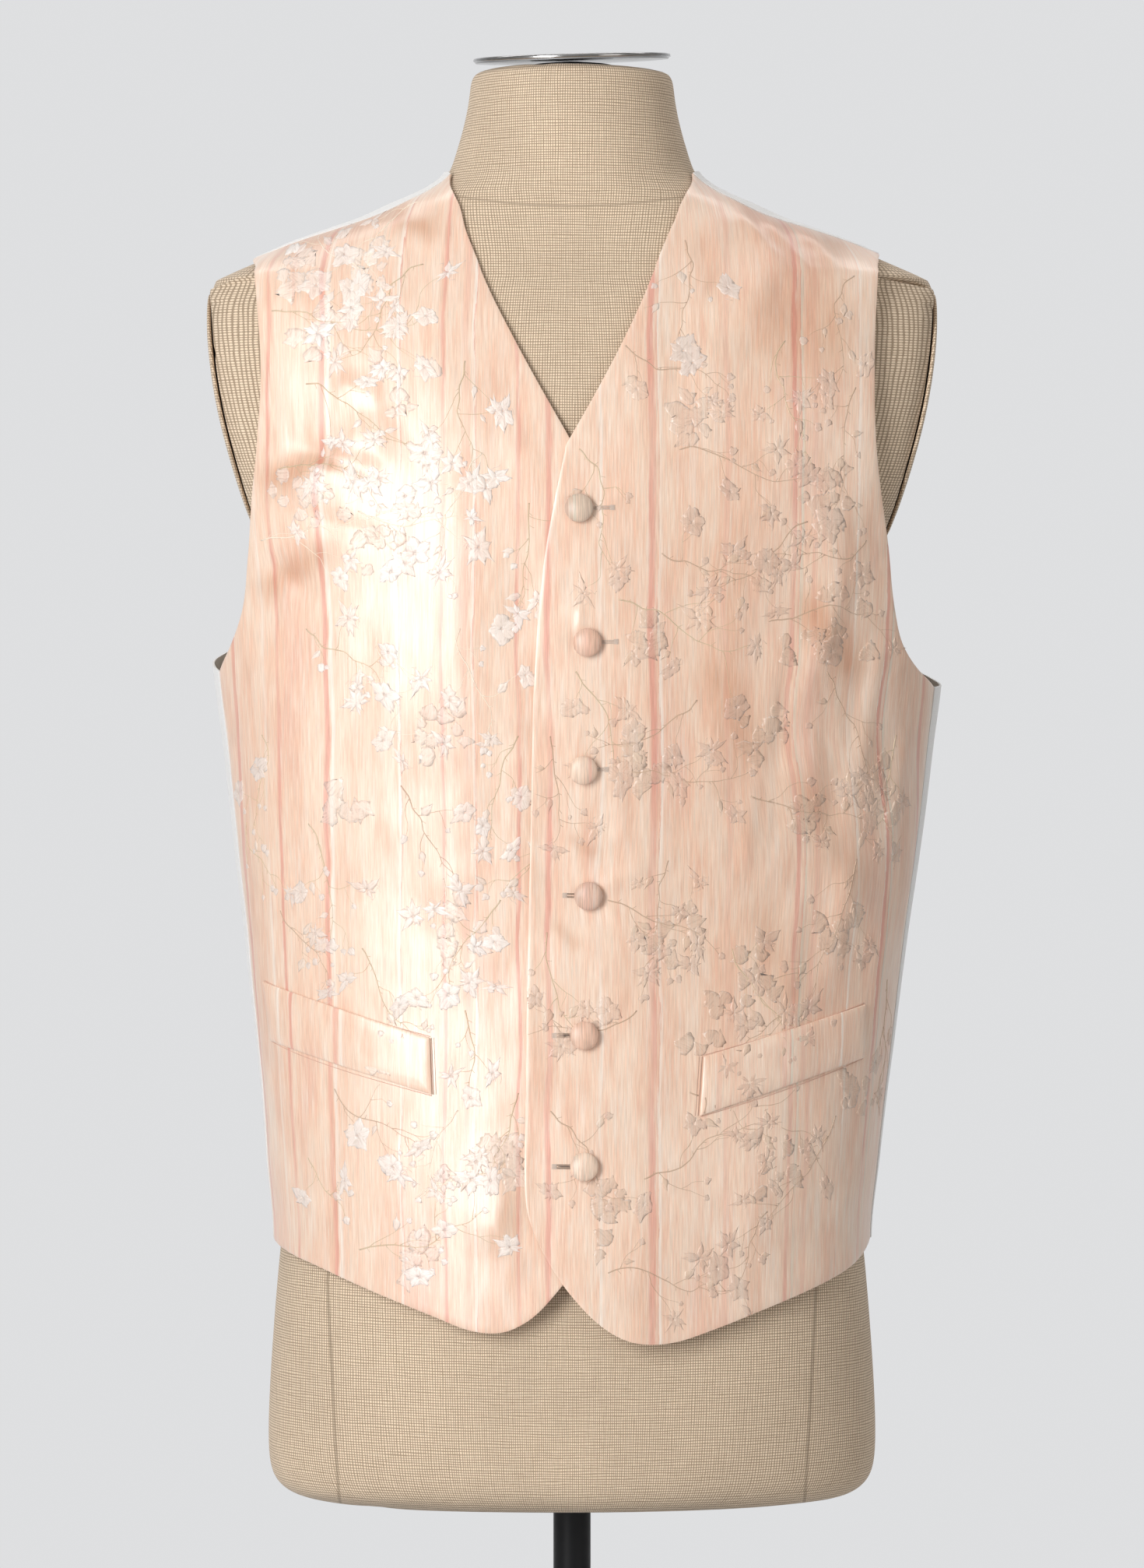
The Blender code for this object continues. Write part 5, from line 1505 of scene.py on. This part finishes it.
def addBlossom(motifs, centre, radius, pale, rng):
    # Painted sheen: pale mixes the lit white into the taupe, and the lit blossoms are also more opaque
    tint = mixTint(pale, sprayLook["glossLitTint"], sprayLook["taupeTint"])
    veil = rng.uniform(0.6, 0.92) if pale > 0.5 else rng.uniform(0.2, 0.5)
    turn = rng.uniform(0, 2 * math.pi)
    squash = rng.uniform(0.5, 1.0)
    tilt = rng.uniform(0, math.pi)
    spiky = rng.random() < (0.45 if pale > 0.5 else 0.6)
    count = rng.randint(6, 9) if spiky else sprayLook["petals"]
    sway = 0.4 if spiky else 0.16
    low, high = (0.5, 1.3) if spiky else (0.72, 1.12)
    slimness = rng.uniform(0.17, 0.28) if spiky else rng.uniform(0.40, 0.54)
    for k in range(count):
        heading = turn + 2 * math.pi * k / count + rng.uniform(-sway, sway)
        addPetal(motifs, centre, radius * rng.uniform(low, high), heading, slimness * rng.uniform(0.8, 1.2),
                 squash, tilt, tint, veil * rng.uniform(0.8, 1.0), rng, 0.8 if spiky else 0.0)
    # Crinkled stitch lines from the middle, grey on the pale blossoms that carry the painted sheen and paler
    # on the others
    line = mixTint(pale, (0.66, 0.60, 0.60), (0.84, 0.72, 0.62))
    for k in range(rng.randint(4, 8)):
        heading = rng.uniform(0, 2 * math.pi)
        reach = radius * rng.uniform(0.3, 0.75)
        steps = np.linspace(0.08, 1, 7)
        bends = heading + 0.5 * np.sin(steps * 7 + rng.uniform(0, 6))
        path = centre + (steps * reach)[:, None] * np.stack([np.cos(bends), np.sin(bends)], axis=-1)
        if motifs.fits(path):
            addRibbon(motifs, path, np.linspace(0.42, 0.25, 7), line, 0.75, 0.6)


def addBud(motifs, centre, heading, size, pale, rng):
    # Painted sheen, as for the blossoms
    tint = mixTint(pale, sprayLook["glossLitTint"], sprayLook["taupeTint"])
    veil = 0.75 if pale > 0.5 else 0.42
    addPetal(motifs, np.array(centre), size, heading, 0.46, 1.0, 0.0, tint, veil, rng)
    if rng.random() < 0.5:
        addPetal(motifs, np.array(centre), size * 0.8, heading + 0.5, 0.36, 1.0, 0.0, tint, veil, rng)


def addLeaf(motifs, base, heading, length, pale, rng):
    # A slim leaf with its middle vein, in a tone between the twig and the blossoms, with the same painted
    # sheen
    tint = mixTint(pale, sprayLook["glossLitTint"], (0.58, 0.46, 0.34))
    veil = 0.55 if pale > 0.5 else 0.36
    addPetal(motifs, np.array(base), length, heading, rng.uniform(0.2, 0.3), 1.0, 0.0, tint, veil, rng, 1.0)
    steps = np.linspace(0.1, 0.85, 6)[:, None]
    vein = np.array(base) + steps * length * np.array([math.cos(heading), math.sin(heading)])
    if motifs.fits(vein):
        veinTint = mixTint(pale, (0.85, 0.78, 0.68), (0.5, 0.38, 0.26))
        addRibbon(motifs, vein, np.linspace(0.4, 0.2, 6), veinTint, 0.6, 0.5)


def addGhost(motifs, centre, reach, pale, rng):
    # A soft silhouette of overlapping blossoms, as if woven on the wrong side of the cloth
    # Painted sheen: near white where pale, as if lit by the key light, taupe as in shade
    tint = mixTint(pale, (0.98, 0.94, 0.90), sprayLook["ghostTint"])
    veil = rng.uniform(0.30, 0.42)
    for k in range(rng.randint(9, 14)):
        away = reach * math.sqrt(rng.random())
        around = rng.uniform(0, 2 * math.pi)
        middle = centre + away * np.array([math.cos(around), math.sin(around)])
        addPetal(motifs, middle, rng.uniform(7, 14), rng.uniform(0, 2 * math.pi), rng.uniform(0.35, 0.6),
                 1.0, 0.0, tint, veil, rng, rng.choice((0.0, 0.6)), 0.4, 0.1)


def wander(start, heading, length, rng, bend=0.9):
    # A branch's path: a few gentle bends with small uneven kinks at its nodes
    step = 1.8
    count = max(int(length / step), 5)
    swing = rng.uniform(-bend, bend)
    second = rng.uniform(-bend, bend)
    path = [np.array(start, float)]
    kink, wanted = 0.0, 0.0
    for i in range(count):
        t = i / count
        if i % 4 == 0:
            wanted = rng.uniform(-0.42, 0.42)
        kink += 0.6 * (wanted - kink)
        angle = heading + swing * math.sin(math.pi * t) + second * t * t + kink
        path.append(path[-1] + step * np.array([math.cos(angle), math.sin(angle)]))
    return np.array(path)


def growSpray(motifs, start, heading, length, blossoms, pale, rng):
    # Painted sheen: pale twigs where the key light would whiten them, olive and brown in the half shade
    if pale > 0.85:
        twig = sprayLook["glossLitTwig"] if rng.random() < 0.72 else sprayLook["oliveTwig"]
    elif pale > 0.5:
        twig = sprayLook["oliveTwig"] if rng.random() < 0.7 else sprayLook["brownTwig"]
    else:
        twig = sprayLook["brownTwig"] if rng.random() < 0.8 else sprayLook["oliveTwig"]
    thick, thin = sprayLook["twigWidth"]
    main = wander(start, heading, length, rng)
    addRibbon(motifs, main, np.linspace(thick, thin, len(main)), twig, 0.8)
    for k in range(3, len(main) - 2, rng.randint(4, 6)):
        # Short spurs at the nodes
        away = math.atan2(*(main[k + 1] - main[k])[::-1]) + rng.choice((-1, 1)) * rng.uniform(0.7, 1.3)
        alongSpur = np.array([math.cos(away), math.sin(away)])
        spur = main[k] + np.linspace(0, rng.uniform(1.6, 3.4), 4)[:, None] * alongSpur
        addRibbon(motifs, spur, np.linspace(thin * 1.4, thin * 0.7, 4), twig, 0.75)
    ends = [(main[-1], heading)]
    place = rng.randint(4, 7)
    side = rng.choice((-1, 1))
    while place < len(main) - 3:
        out = math.atan2(*(main[place + 1] - main[place])[::-1]) + side * rng.uniform(0.5, 1.1)
        twigLength = rng.uniform(0.18, 0.42) * length
        path = wander(main[place], out, twigLength, rng, 0.7)
        addRibbon(motifs, path, np.linspace(thin * 1.4, thin * 0.7, len(path)), twig, 0.75)
        ends.append((path[-1], out))
        if rng.random() < 0.55:
            leafAt = path[rng.randrange(1, len(path))]
            leafHeading = out + rng.choice((-1, 1)) * rng.uniform(0.5, 1.1)
            addLeaf(motifs, leafAt, leafHeading, rng.uniform(6, 11), pale, rng)
        if rng.random() < 0.6 and len(path) > 6:
            fork = path[len(path) // 2]
            forkOut = out - side * rng.uniform(0.5, 0.9)
            small = wander(fork, forkOut, twigLength * 0.5, rng, 0.5)
            addRibbon(motifs, small, np.linspace(thin, thin * 0.6, len(small)), twig, 0.7)
            addBud(motifs, small[-1], forkOut, rng.uniform(3.0, 5.0), pale, rng)
        place += rng.randint(5, 9)
        side = -side
    low, high = sprayLook["blossomRadius"]
    rng.shuffle(ends)
    for k in range(blossoms):
        if k < len(ends):
            at, out = ends[k]
        else:
            at = main[rng.randrange(len(main))] + np.array([rng.uniform(-9, 9), rng.uniform(-9, 9)])
            out = heading
        radius = rng.uniform(low, high)
        addBlossom(motifs, at + 0.4 * radius * np.array([math.cos(out), math.sin(out)]), radius, pale, rng)
    for at, out in ends[blossoms:]:
        addBud(motifs, at, out, rng.uniform(3.4, 6.0), pale, rng)


def outlineWelt(motifs):
    # The seam lines round a welt, partly painted shade in the seam's groove; darker and double at its inner
    # end, where they are painted shadow of the raised end
    middle = motifs.welt.mean(axis=0)
    for k in range(4):
        start, end = motifs.welt[k], motifs.welt[(k + 1) % 4]
        along = (end - start) / np.linalg.norm(end - start)
        out = np.array([-along[1], along[0]])
        out = out if (start - middle) @ out > 0 else -out
        lines = ((0.75, 0.8), (2.3, 0.5)) if k == 1 else ((0.7, 0.6),)
        tint = sprayLook["darkSeamAndShadow"] if k == 1 else sprayLook["roseSeamAndShade"]
        for away, width in lines:
            path = np.linspace(start, end, 70) + out * away
            addRibbon(motifs, path, np.full(70, width), tint, 0.8, 0.4)


for side, seed in (("right", 5), ("left", 8)):
    motifs = Motifs(side)
    rng = random.Random(seed)
    for x, z, reach, pale in ghosts[side]:
        addGhost(motifs, np.array([float(arcAt(turnOf(x, z), np.array(z))), z]), reach, pale, rng)
    for x, z, heading, length, blossoms, pale in sprays[side]:
        arc = float(arcAt(turnOf(x, z), np.array(z)))
        growSpray(motifs, (arc, z), math.radians(heading), length, blossoms, pale, rng)
    outlineWelt(motifs)
    motifs.finish("woven_sprays_" + side)


# Turned pieces: a profile of radius and height spun round its axis, then set in place
def spinPiece(name, profile, steps, material, centre=(0, 0, 0), axis=(0, 0, 1)):
    mesh = bpy.data.meshes.new(name)
    points = [(radius * mm, 0.0, height * mm) for radius, height in profile]
    mesh.from_pydata(points, [(i, i + 1) for i in range(len(points) - 1)], [])
    piece = bpy.data.objects.new(name, mesh)
    bpy.context.scene.collection.objects.link(piece)
    makeActive(piece)
    bpy.ops.object.mode_set(mode="EDIT")
    bpy.ops.mesh.select_all(action="SELECT")
    bpy.ops.mesh.spin(steps=steps, angle=2 * math.pi, center=(0, 0, 0), axis=(0, 0, 1))
    bpy.ops.mesh.select_all(action="SELECT")
    bpy.ops.mesh.remove_doubles(threshold=0.00001)
    bpy.ops.mesh.normals_make_consistent(inside=False)
    bpy.ops.object.mode_set(mode="OBJECT")
    bpy.ops.object.shade_smooth_by_angle(angle=math.radians(40))
    piece.data.materials.append(material)
    turned = Vector((0, 0, 1)).rotation_difference(Vector(axis).normalized()).to_matrix().to_4x4()
    piece.data.transform(Matrix.Translation(Vector(centre) * mm) @ turned)
    piece.data.update()
    turnInsideOutIfNeeded(piece)
    return piece


def arcProfile(radiusFrom, heightFrom, radiusTo, heightTo, count, bulge=1.0):
    # A quarter of an oval from one place of a profile to another
    steps = [math.pi / 2 * i / count for i in range(count + 1)]
    return [
        (radiusTo + (radiusFrom - radiusTo) * math.cos(t) ** bulge,
         heightFrom + (heightTo - heightFrom) * math.sin(t))
        for t in steps
    ]


# Covered buttons down the closing: x, z, the patch of cloth each was cut from
buttons = {
    "places": (
        (3.9, 766.6, 0.134), (8.4, 692.2, 0.088), (6.1, 621.2, -0.075),
        (9.1, 550.4, 0.046), (6.8, 472.0, -0.0445), (6.8, 398.9, 0.2),
    ),
    "washes": (
        (0.55, (0.60, 0.52, 0.41)), (0.30, (0.74, 0.42, 0.32)), (0.20, (0.86, 0.72, 0.58)),
        (0.42, (0.58, 0.36, 0.29)), (0.34, (0.72, 0.43, 0.32)), (0.15, (0.90, 0.78, 0.64)),
    ),
    "radius": 8.0,
    "height": 6.6,
    "pleats": 17,
}


def buttonMaterial(name, wash):
    material, tree, shader = startMaterial(name, 0.4, 0.25, 0.7)
    color, fine, hair, place = streakColor(tree)
    color = mixColor(tree, wash[0], color, wash[1])
    lines = ramp(tree, stretchedNoise(tree, place, (1300.0, 70.0, 1.0), 3.0), ((0.36, 0.78), (0.6, 1.04)))
    color = mixColor(tree, 1.0, color, lines, "MULTIPLY")
    tree.links.new(color, shader.inputs["Base Color"])
    threadBump(tree, shader, plus(tree, fine, hair), 0.3, 0.0003)
    return material


def makeButton(number, x, z, patch):
    turn = np.array([float(turnOf(x, z))])
    level = np.array([z])
    clear = garment["layerGap"]
    seat = frontSurface(turn, level, clear, True)[0]
    normal = clothNormal(turn, level)[0]
    radius, height = buttons["radius"], buttons["height"]
    profile = [(0.0, 0.0), (2.4, 0.0), (2.6, 0.9), (3.4, 1.15), (6.4, 1.2), (7.3, 1.45)]
    profile += arcProfile(radius - 0.1, 2.1, radius, 2.7, 2)
    profile += arcProfile(radius, 2.9, 0.0, height, 14)
    material = buttonMaterial("button_satin_%d" % number, buttons["washes"][number - 1])
    piece = spinPiece("button_%d_cover" % number, profile, 64, material, seat, normal)
    # Cloth gathered under the rim, and a patch of the streaked satin over the dome
    mesh = piece.data
    centre = Vector(seat) * mm
    up = Vector(normal)
    side = up.cross(Vector((0, 0, 1))).normalized()
    other = side.cross(up)
    flat = []
    for vertex in mesh.vertices:
        arm = vertex.co - centre
        across, rise, height = arm.dot(side), arm.dot(other), arm.dot(up)
        reach = math.hypot(across, rise)
        angle = math.atan2(rise, across)
        gather = math.exp(-((height / mm - 1.9) / 0.9) ** 2) * (reach / mm > 4)
        push = 0.00016 * gather * math.sin(buttons["pleats"] * angle + number)
        vertex.co += (side * across + other * rise) * (push / max(reach, 1e-6))
        flat.append((patch - across * 1.0, z * mm + rise))
    layer = mesh.uv_layers.new(name="cloth")
    for loop in mesh.loops:
        layer.data[loop.index].uv = flat[loop.vertex_index]
    return declare(piece, "button_%d" % number)


for number, (x, z, patch) in enumerate(buttons["places"], 1):
    makeButton(number, x, z, patch)
print("buttons made")


# Buttonholes: which way each shows past its button, how long, in thread of a paler or browner shade
buttonholes = {
    "shows": (
        (1, 17.5, 0.55), (1, 15.0, 0.4), (1, 12.0, 0.3),
        (-1, 12.0, 0.3), (-1, 15.5, 0.15), (-1, 15.5, 0.15),
    ),
    "stitchLength": 1.1,
    "stitchPitch": 0.5,
    "stitchThick": 0.34,
}


def plainThread(name, color):
    material, tree, shader = startMaterial(name, 0.55, 0.2, 0.4)
    place = addNode(tree, "ShaderNodeTexCoord").outputs["Object"]
    twist = stretchedNoise(tree, place, (2600.0, 2600.0, 5200.0), 2.0)
    shade = ramp(tree, twist, ((0.3, tuple(c * 0.72 for c in color)), (0.7, color)))
    tree.links.new(shade, shader.inputs["Base Color"])
    threadBump(tree, shader, twist, 0.4, 0.0002)
    return material


paleThread = plainThread("pale_thread", (0.82, 0.68, 0.58))
brownThread = plainThread("brown_thread", (0.40, 0.29, 0.22))
# Painted shadow: near-black thread standing for the shade inside a buttonhole's cut
slitShadow = plainThread("painted_slit_shadow", (0.10, 0.07, 0.055))


def stitchRing(start, end, thick, count=6):
    # One stitch: a short rounded bar from start to end, in flat measure with height
    steps = np.array([0.0, 0.12, 0.5, 0.88, 1.0])
    swell = np.array([0.35, 0.85, 1.0, 0.85, 0.35])
    start, end = np.array(start), np.array(end)
    forward = (end - start) / np.linalg.norm(end - start)
    across = np.array([-forward[1], forward[0]])
    rings = []
    for step, size in zip(steps, swell):
        middle = start + (end - start) * step
        for k in range(count):
            angle = 2 * math.pi * k / count
            offset = across * math.cos(angle) * thick / 2 * size
            rings.append((middle[0] + offset[0], middle[1] + offset[1],
                          (0.5 + 0.5 * math.sin(angle) * size) * thick))
    faces = []
    for i in range(len(steps) - 1):
        for k in range(count):
            a, b = i * count + k, i * count + (k + 1) % count
            faces.append((a, b, b + count, a + count))
    faces.append(tuple(reversed(range(count))))
    faces.append(tuple(range((len(steps) - 1) * count, len(steps) * count)))
    return np.array(rings), faces


def makeStitches(name, bars, material):
    points, faces = [], []
    for start, end, thick in bars:
        ring, ringFaces = stitchRing(start, end, thick)
        faces += [[i + len(points) for i in face] for face in ringFaces]
        points += ring.tolist()
    points = np.array(points)
    turn = turnAtArc(points[:, 0], points[:, 1])
    placed = frontSurface(turn, points[:, 1], points[:, 2] + 0.02, True)
    piece = makePiece(name, placed, faces, material)
    turnInsideOutIfNeeded(piece)
    return declare(piece)


def makeButtonholes():
    pale, brown, slits = [], [], []
    for (x, z, _), (way, reach, lean) in zip(buttons["places"], buttonholes["shows"]):
        arc = float(arcAt(turnOf(x, z), np.array(z)))
        bars = pale if way > 0 else brown
        length = buttonholes["stitchLength"]
        count = int(reach / buttonholes["stitchPitch"])
        parted = 0.28 if way < 0 else 0.05
        # The lower two buttonholes get a painted shadow in their cut
        if way < 0 and z < 500:
            slits.append(((arc, z), (arc + way * (reach - 1.0), z + lean), 0.45))
        for k in range(count):
            at = arc + way * k * buttonholes["stitchPitch"]
            level = z + lean * k / count
            for upward in (-1, 1):
                bars.append(((at, level + upward * parted), (at, level + upward * (parted + length)),
                             buttonholes["stitchThick"]))
        end = arc + way * reach
        for k in range(7):
            level = z + lean + (k - 3) * 0.42
            pale.append(((end - way * 0.4, level), (end + way * 2.6, level), 0.4))
    makeStitches("buttonhole_stitches_pale", pale, paleThread)
    makeStitches("buttonhole_stitches_brown", brown, brownThread)
    makeStitches("buttonhole_slits", slits, slitShadow)


makeButtonholes()
print("buttonholes made")


# The dress form: the solid's own shape, smoothed, in linen with its seams
def smoothCopy(node, name, levels, creaseAngle):
    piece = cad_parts[node].copy()
    piece.data = piece.data.copy()
    piece.name = name
    for key in list(piece.keys()):
        del piece[key]
    piece.parent = None
    bpy.context.scene.collection.objects.link(piece)
    piece.hide_render = False
    piece.hide_viewport = False
    piece.data.materials.clear()
    makeActive(piece)
    bpy.ops.object.mode_set(mode="EDIT")
    bpy.ops.mesh.select_all(action="SELECT")
    bpy.ops.mesh.remove_doubles(threshold=0.00001)
    bpy.ops.mesh.tris_convert_to_quads(face_threshold=math.radians(50), shape_threshold=math.radians(60))
    bpy.ops.mesh.select_all(action="DESELECT")
    bpy.ops.mesh.select_mode(type="EDGE")
    bpy.ops.mesh.edges_select_sharp(sharpness=creaseAngle)
    bpy.ops.transform.edge_crease(value=0.8)
    bpy.ops.object.mode_set(mode="OBJECT")
    smooth = piece.modifiers.new("smooth", "SUBSURF")
    smooth.levels = levels
    smooth.render_levels = levels
    bpy.ops.object.modifier_apply(modifier=smooth.name)
    bpy.ops.object.shade_smooth()
    return piece


def addFloat(mesh, name, amounts):
    attribute = mesh.attributes.new(name, "FLOAT", "POINT")
    attribute.data.foreach_set("value", np.asarray(amounts, np.float32))


def meshPoints(mesh):
    points = np.zeros(len(mesh.vertices) * 3, np.float32)
    mesh.vertices.foreach_get("co", points)
    return points.reshape(-1, 3).astype(float)


def wrapAround(mesh, name):
    # A UV map that goes round the form: arc length and height, in metres
    points = meshPoints(mesh)
    turns = np.arctan2(points[:, 0], -points[:, 1])
    radius = np.interp(points[:, 2], (0.2, 0.7, 0.9, 0.95, 1.0), (0.145, 0.125, 0.1, 0.072, 0.062))
    layer = mesh.uv_layers.new(name=name)
    for face in mesh.polygons:
        corner = [turns[i] for i in face.vertices]
        straddles = max(corner) - min(corner) > math.pi
        for loop, vertex in zip(face.loop_indices, face.vertices):
            turn = turns[vertex] + (2 * math.pi if straddles and turns[vertex] < 0 else 0)
            layer.data[loop].uv = (turn * radius[vertex], points[vertex, 2])


torso = smoothCopy("form_torso", "form_linen", 2, math.radians(38))
wrapAround(torso.data, "weave")
torsoPoints = meshPoints(torso.data) / mm
sideways = np.abs(torsoPoints[:, 0])
level = torsoPoints[:, 2]
princess = np.interp(level, (200, 330, 530, 720, 900), (132, 139, 112, 128, 150))
neckSeam = linen["neckSeamZ"] + 4.0 * (sideways / 50.0) ** 2
addFloat(torso.data, "princess", np.where(level < 880, sideways - princess, linen["farFromSeam"]))
addFloat(torso.data, "neckline", np.where(level > 900, level - neckSeam, linen["farFromSeam"]))
torso.data.materials.append(linenCloth)
declare(torso, "form_torso")

for side in ("left", "right"):
    plate = smoothCopy("arm_plate_" + side, "arm_plate_%s_linen" % side, 2, math.radians(38))
    layer = plate.data.uv_layers.new(name="weave")
    for loop in plate.data.loops:
        corner = plate.data.vertices[loop.vertex_index].co
        layer.data[loop.index].uv = (corner.y, corner.z)
    for seamName in ("princess", "neckline"):
        addFloat(plate.data, seamName, np.full(len(plate.data.vertices), linen["farFromSeam"]))
    plate.data.materials.append(linenCloth)
    declare(plate, "arm_plate_" + side)
print("dress form made")


# Neck fitting, pole and base
def metalMaterial(name, color, roughness, metallic, brushed, specular=0.5):
    material, tree, shader = startMaterial(name, roughness, 0.0, specular)
    shader.inputs["Metallic"].default_value = metallic
    place = addNode(tree, "ShaderNodeTexCoord").outputs["Object"]
    marks = stretchedNoise(tree, place, brushed, 3.0)
    cloudy = stretchedNoise(tree, place, (18.0, 18.0, 18.0), 3.0)
    shade = plus(tree, times(tree, marks, 0.5), times(tree, cloudy, 0.5))
    brushed = ramp(tree, shade, ((0.35, tuple(c * 0.86 for c in color)), (0.65, color)))
    tree.links.new(brushed, shader.inputs["Base Color"])
    rough = addNode(tree, "ShaderNodeMapRange")
    rough.inputs["From Min"].default_value = 0.3
    rough.inputs["From Max"].default_value = 0.7
    rough.inputs["To Min"].default_value = roughness * 0.8
    rough.inputs["To Max"].default_value = roughness * 1.25
    tree.links.new(shade, rough.inputs["Value"])
    tree.links.new(rough.outputs["Result"], shader.inputs["Roughness"])
    threadBump(tree, shader, marks, 0.08, 0.0002)
    return material


polishedSteel = metalMaterial("polished_steel", (0.46, 0.46, 0.465), 0.2, 1.0, (300.0, 300.0, 300.0))
darkSteel = metalMaterial("dark_fitting", (0.05, 0.05, 0.052), 0.4, 0.6, (400.0, 400.0, 60.0))
blackPaint = metalMaterial("black_paint", (0.010, 0.0105, 0.012), 0.4, 0.0, (120.0, 120.0, 30.0), 0.2)

stand = {
    "discRadius": 57.0, "discWall": 3.0, "discZ": 1028.0, "discLean": (-1.6, 4.0), "discEdge": 1.2,
    "stubRadius": 24.0, "stubFrom": 1022.3, "stubBelowDisc": 2.6, "stubEdge": 0.6,
    "poleRadius": 10.8, "poleFrom": 12.3, "poleTo": 199.7, "poleEdge": 0.5,
    "baseRadius": 155.0, "baseHeight": 12.0, "baseEdge": 4.0,
}


def barProfile(radius, low, high, edge):
    # Half of a round bar seen from the side, with the edge taken off at both ends
    return [(0.0, low), (radius - edge, low), (radius, low + edge),
            (radius, high - edge), (radius - edge, high), (0.0, high)]


leanX, leanY = (math.radians(angle) for angle in stand["discLean"])
discAxis = (math.sin(leanX), -math.sin(leanY), 1.0)
radius, wall, edge = stand["discRadius"], stand["discWall"], stand["discEdge"]
discProfile = [(0.0, 0.0), (radius - edge, 0.0)] + arcProfile(radius - edge, 0.0, radius, edge, 4)[1:]
discProfile += arcProfile(radius, wall - edge, radius - edge, wall, 4)
discProfile += [(10.0, wall), (9.0, wall - 0.4), (0.0, wall - 0.4)]
disc = spinPiece("neck_disc_steel", discProfile, 128, polishedSteel, (0, 0, stand["discZ"]), discAxis)
declare(disc, "neck_disc")
discUnder = stand["discZ"]
stubTop = discUnder - stand["stubBelowDisc"]
stubProfile = barProfile(stand["stubRadius"], stand["stubFrom"], stubTop, stand["stubEdge"])[:-1]
stubProfile += [(9.6, discUnder - 1.05), (9.0, discUnder - 0.95), (0.0, discUnder - 0.95)]
stub = spinPiece("neck_stem_dark", stubProfile, 64, darkSteel)
declare(stub, "neck_stem")
poleProfile = barProfile(stand["poleRadius"], stand["poleFrom"], stand["poleTo"], stand["poleEdge"])
pole = spinPiece("pole_painted", poleProfile, 64, blackPaint)
declare(pole, "pole")
radius, height, edge = stand["baseRadius"], stand["baseHeight"], stand["baseEdge"]
baseProfile = [(0.0, 0.0), (radius - 1.0, 0.0), (radius, 1.0), (radius, height - edge)]
baseProfile += arcProfile(radius, height - edge, radius - edge, height, 6)[1:]
baseProfile += [(18.0, height), (0.0, height)]
base = spinPiece("base_painted", baseProfile, 160, blackPaint)
declare(base, "base")
print("stand made")
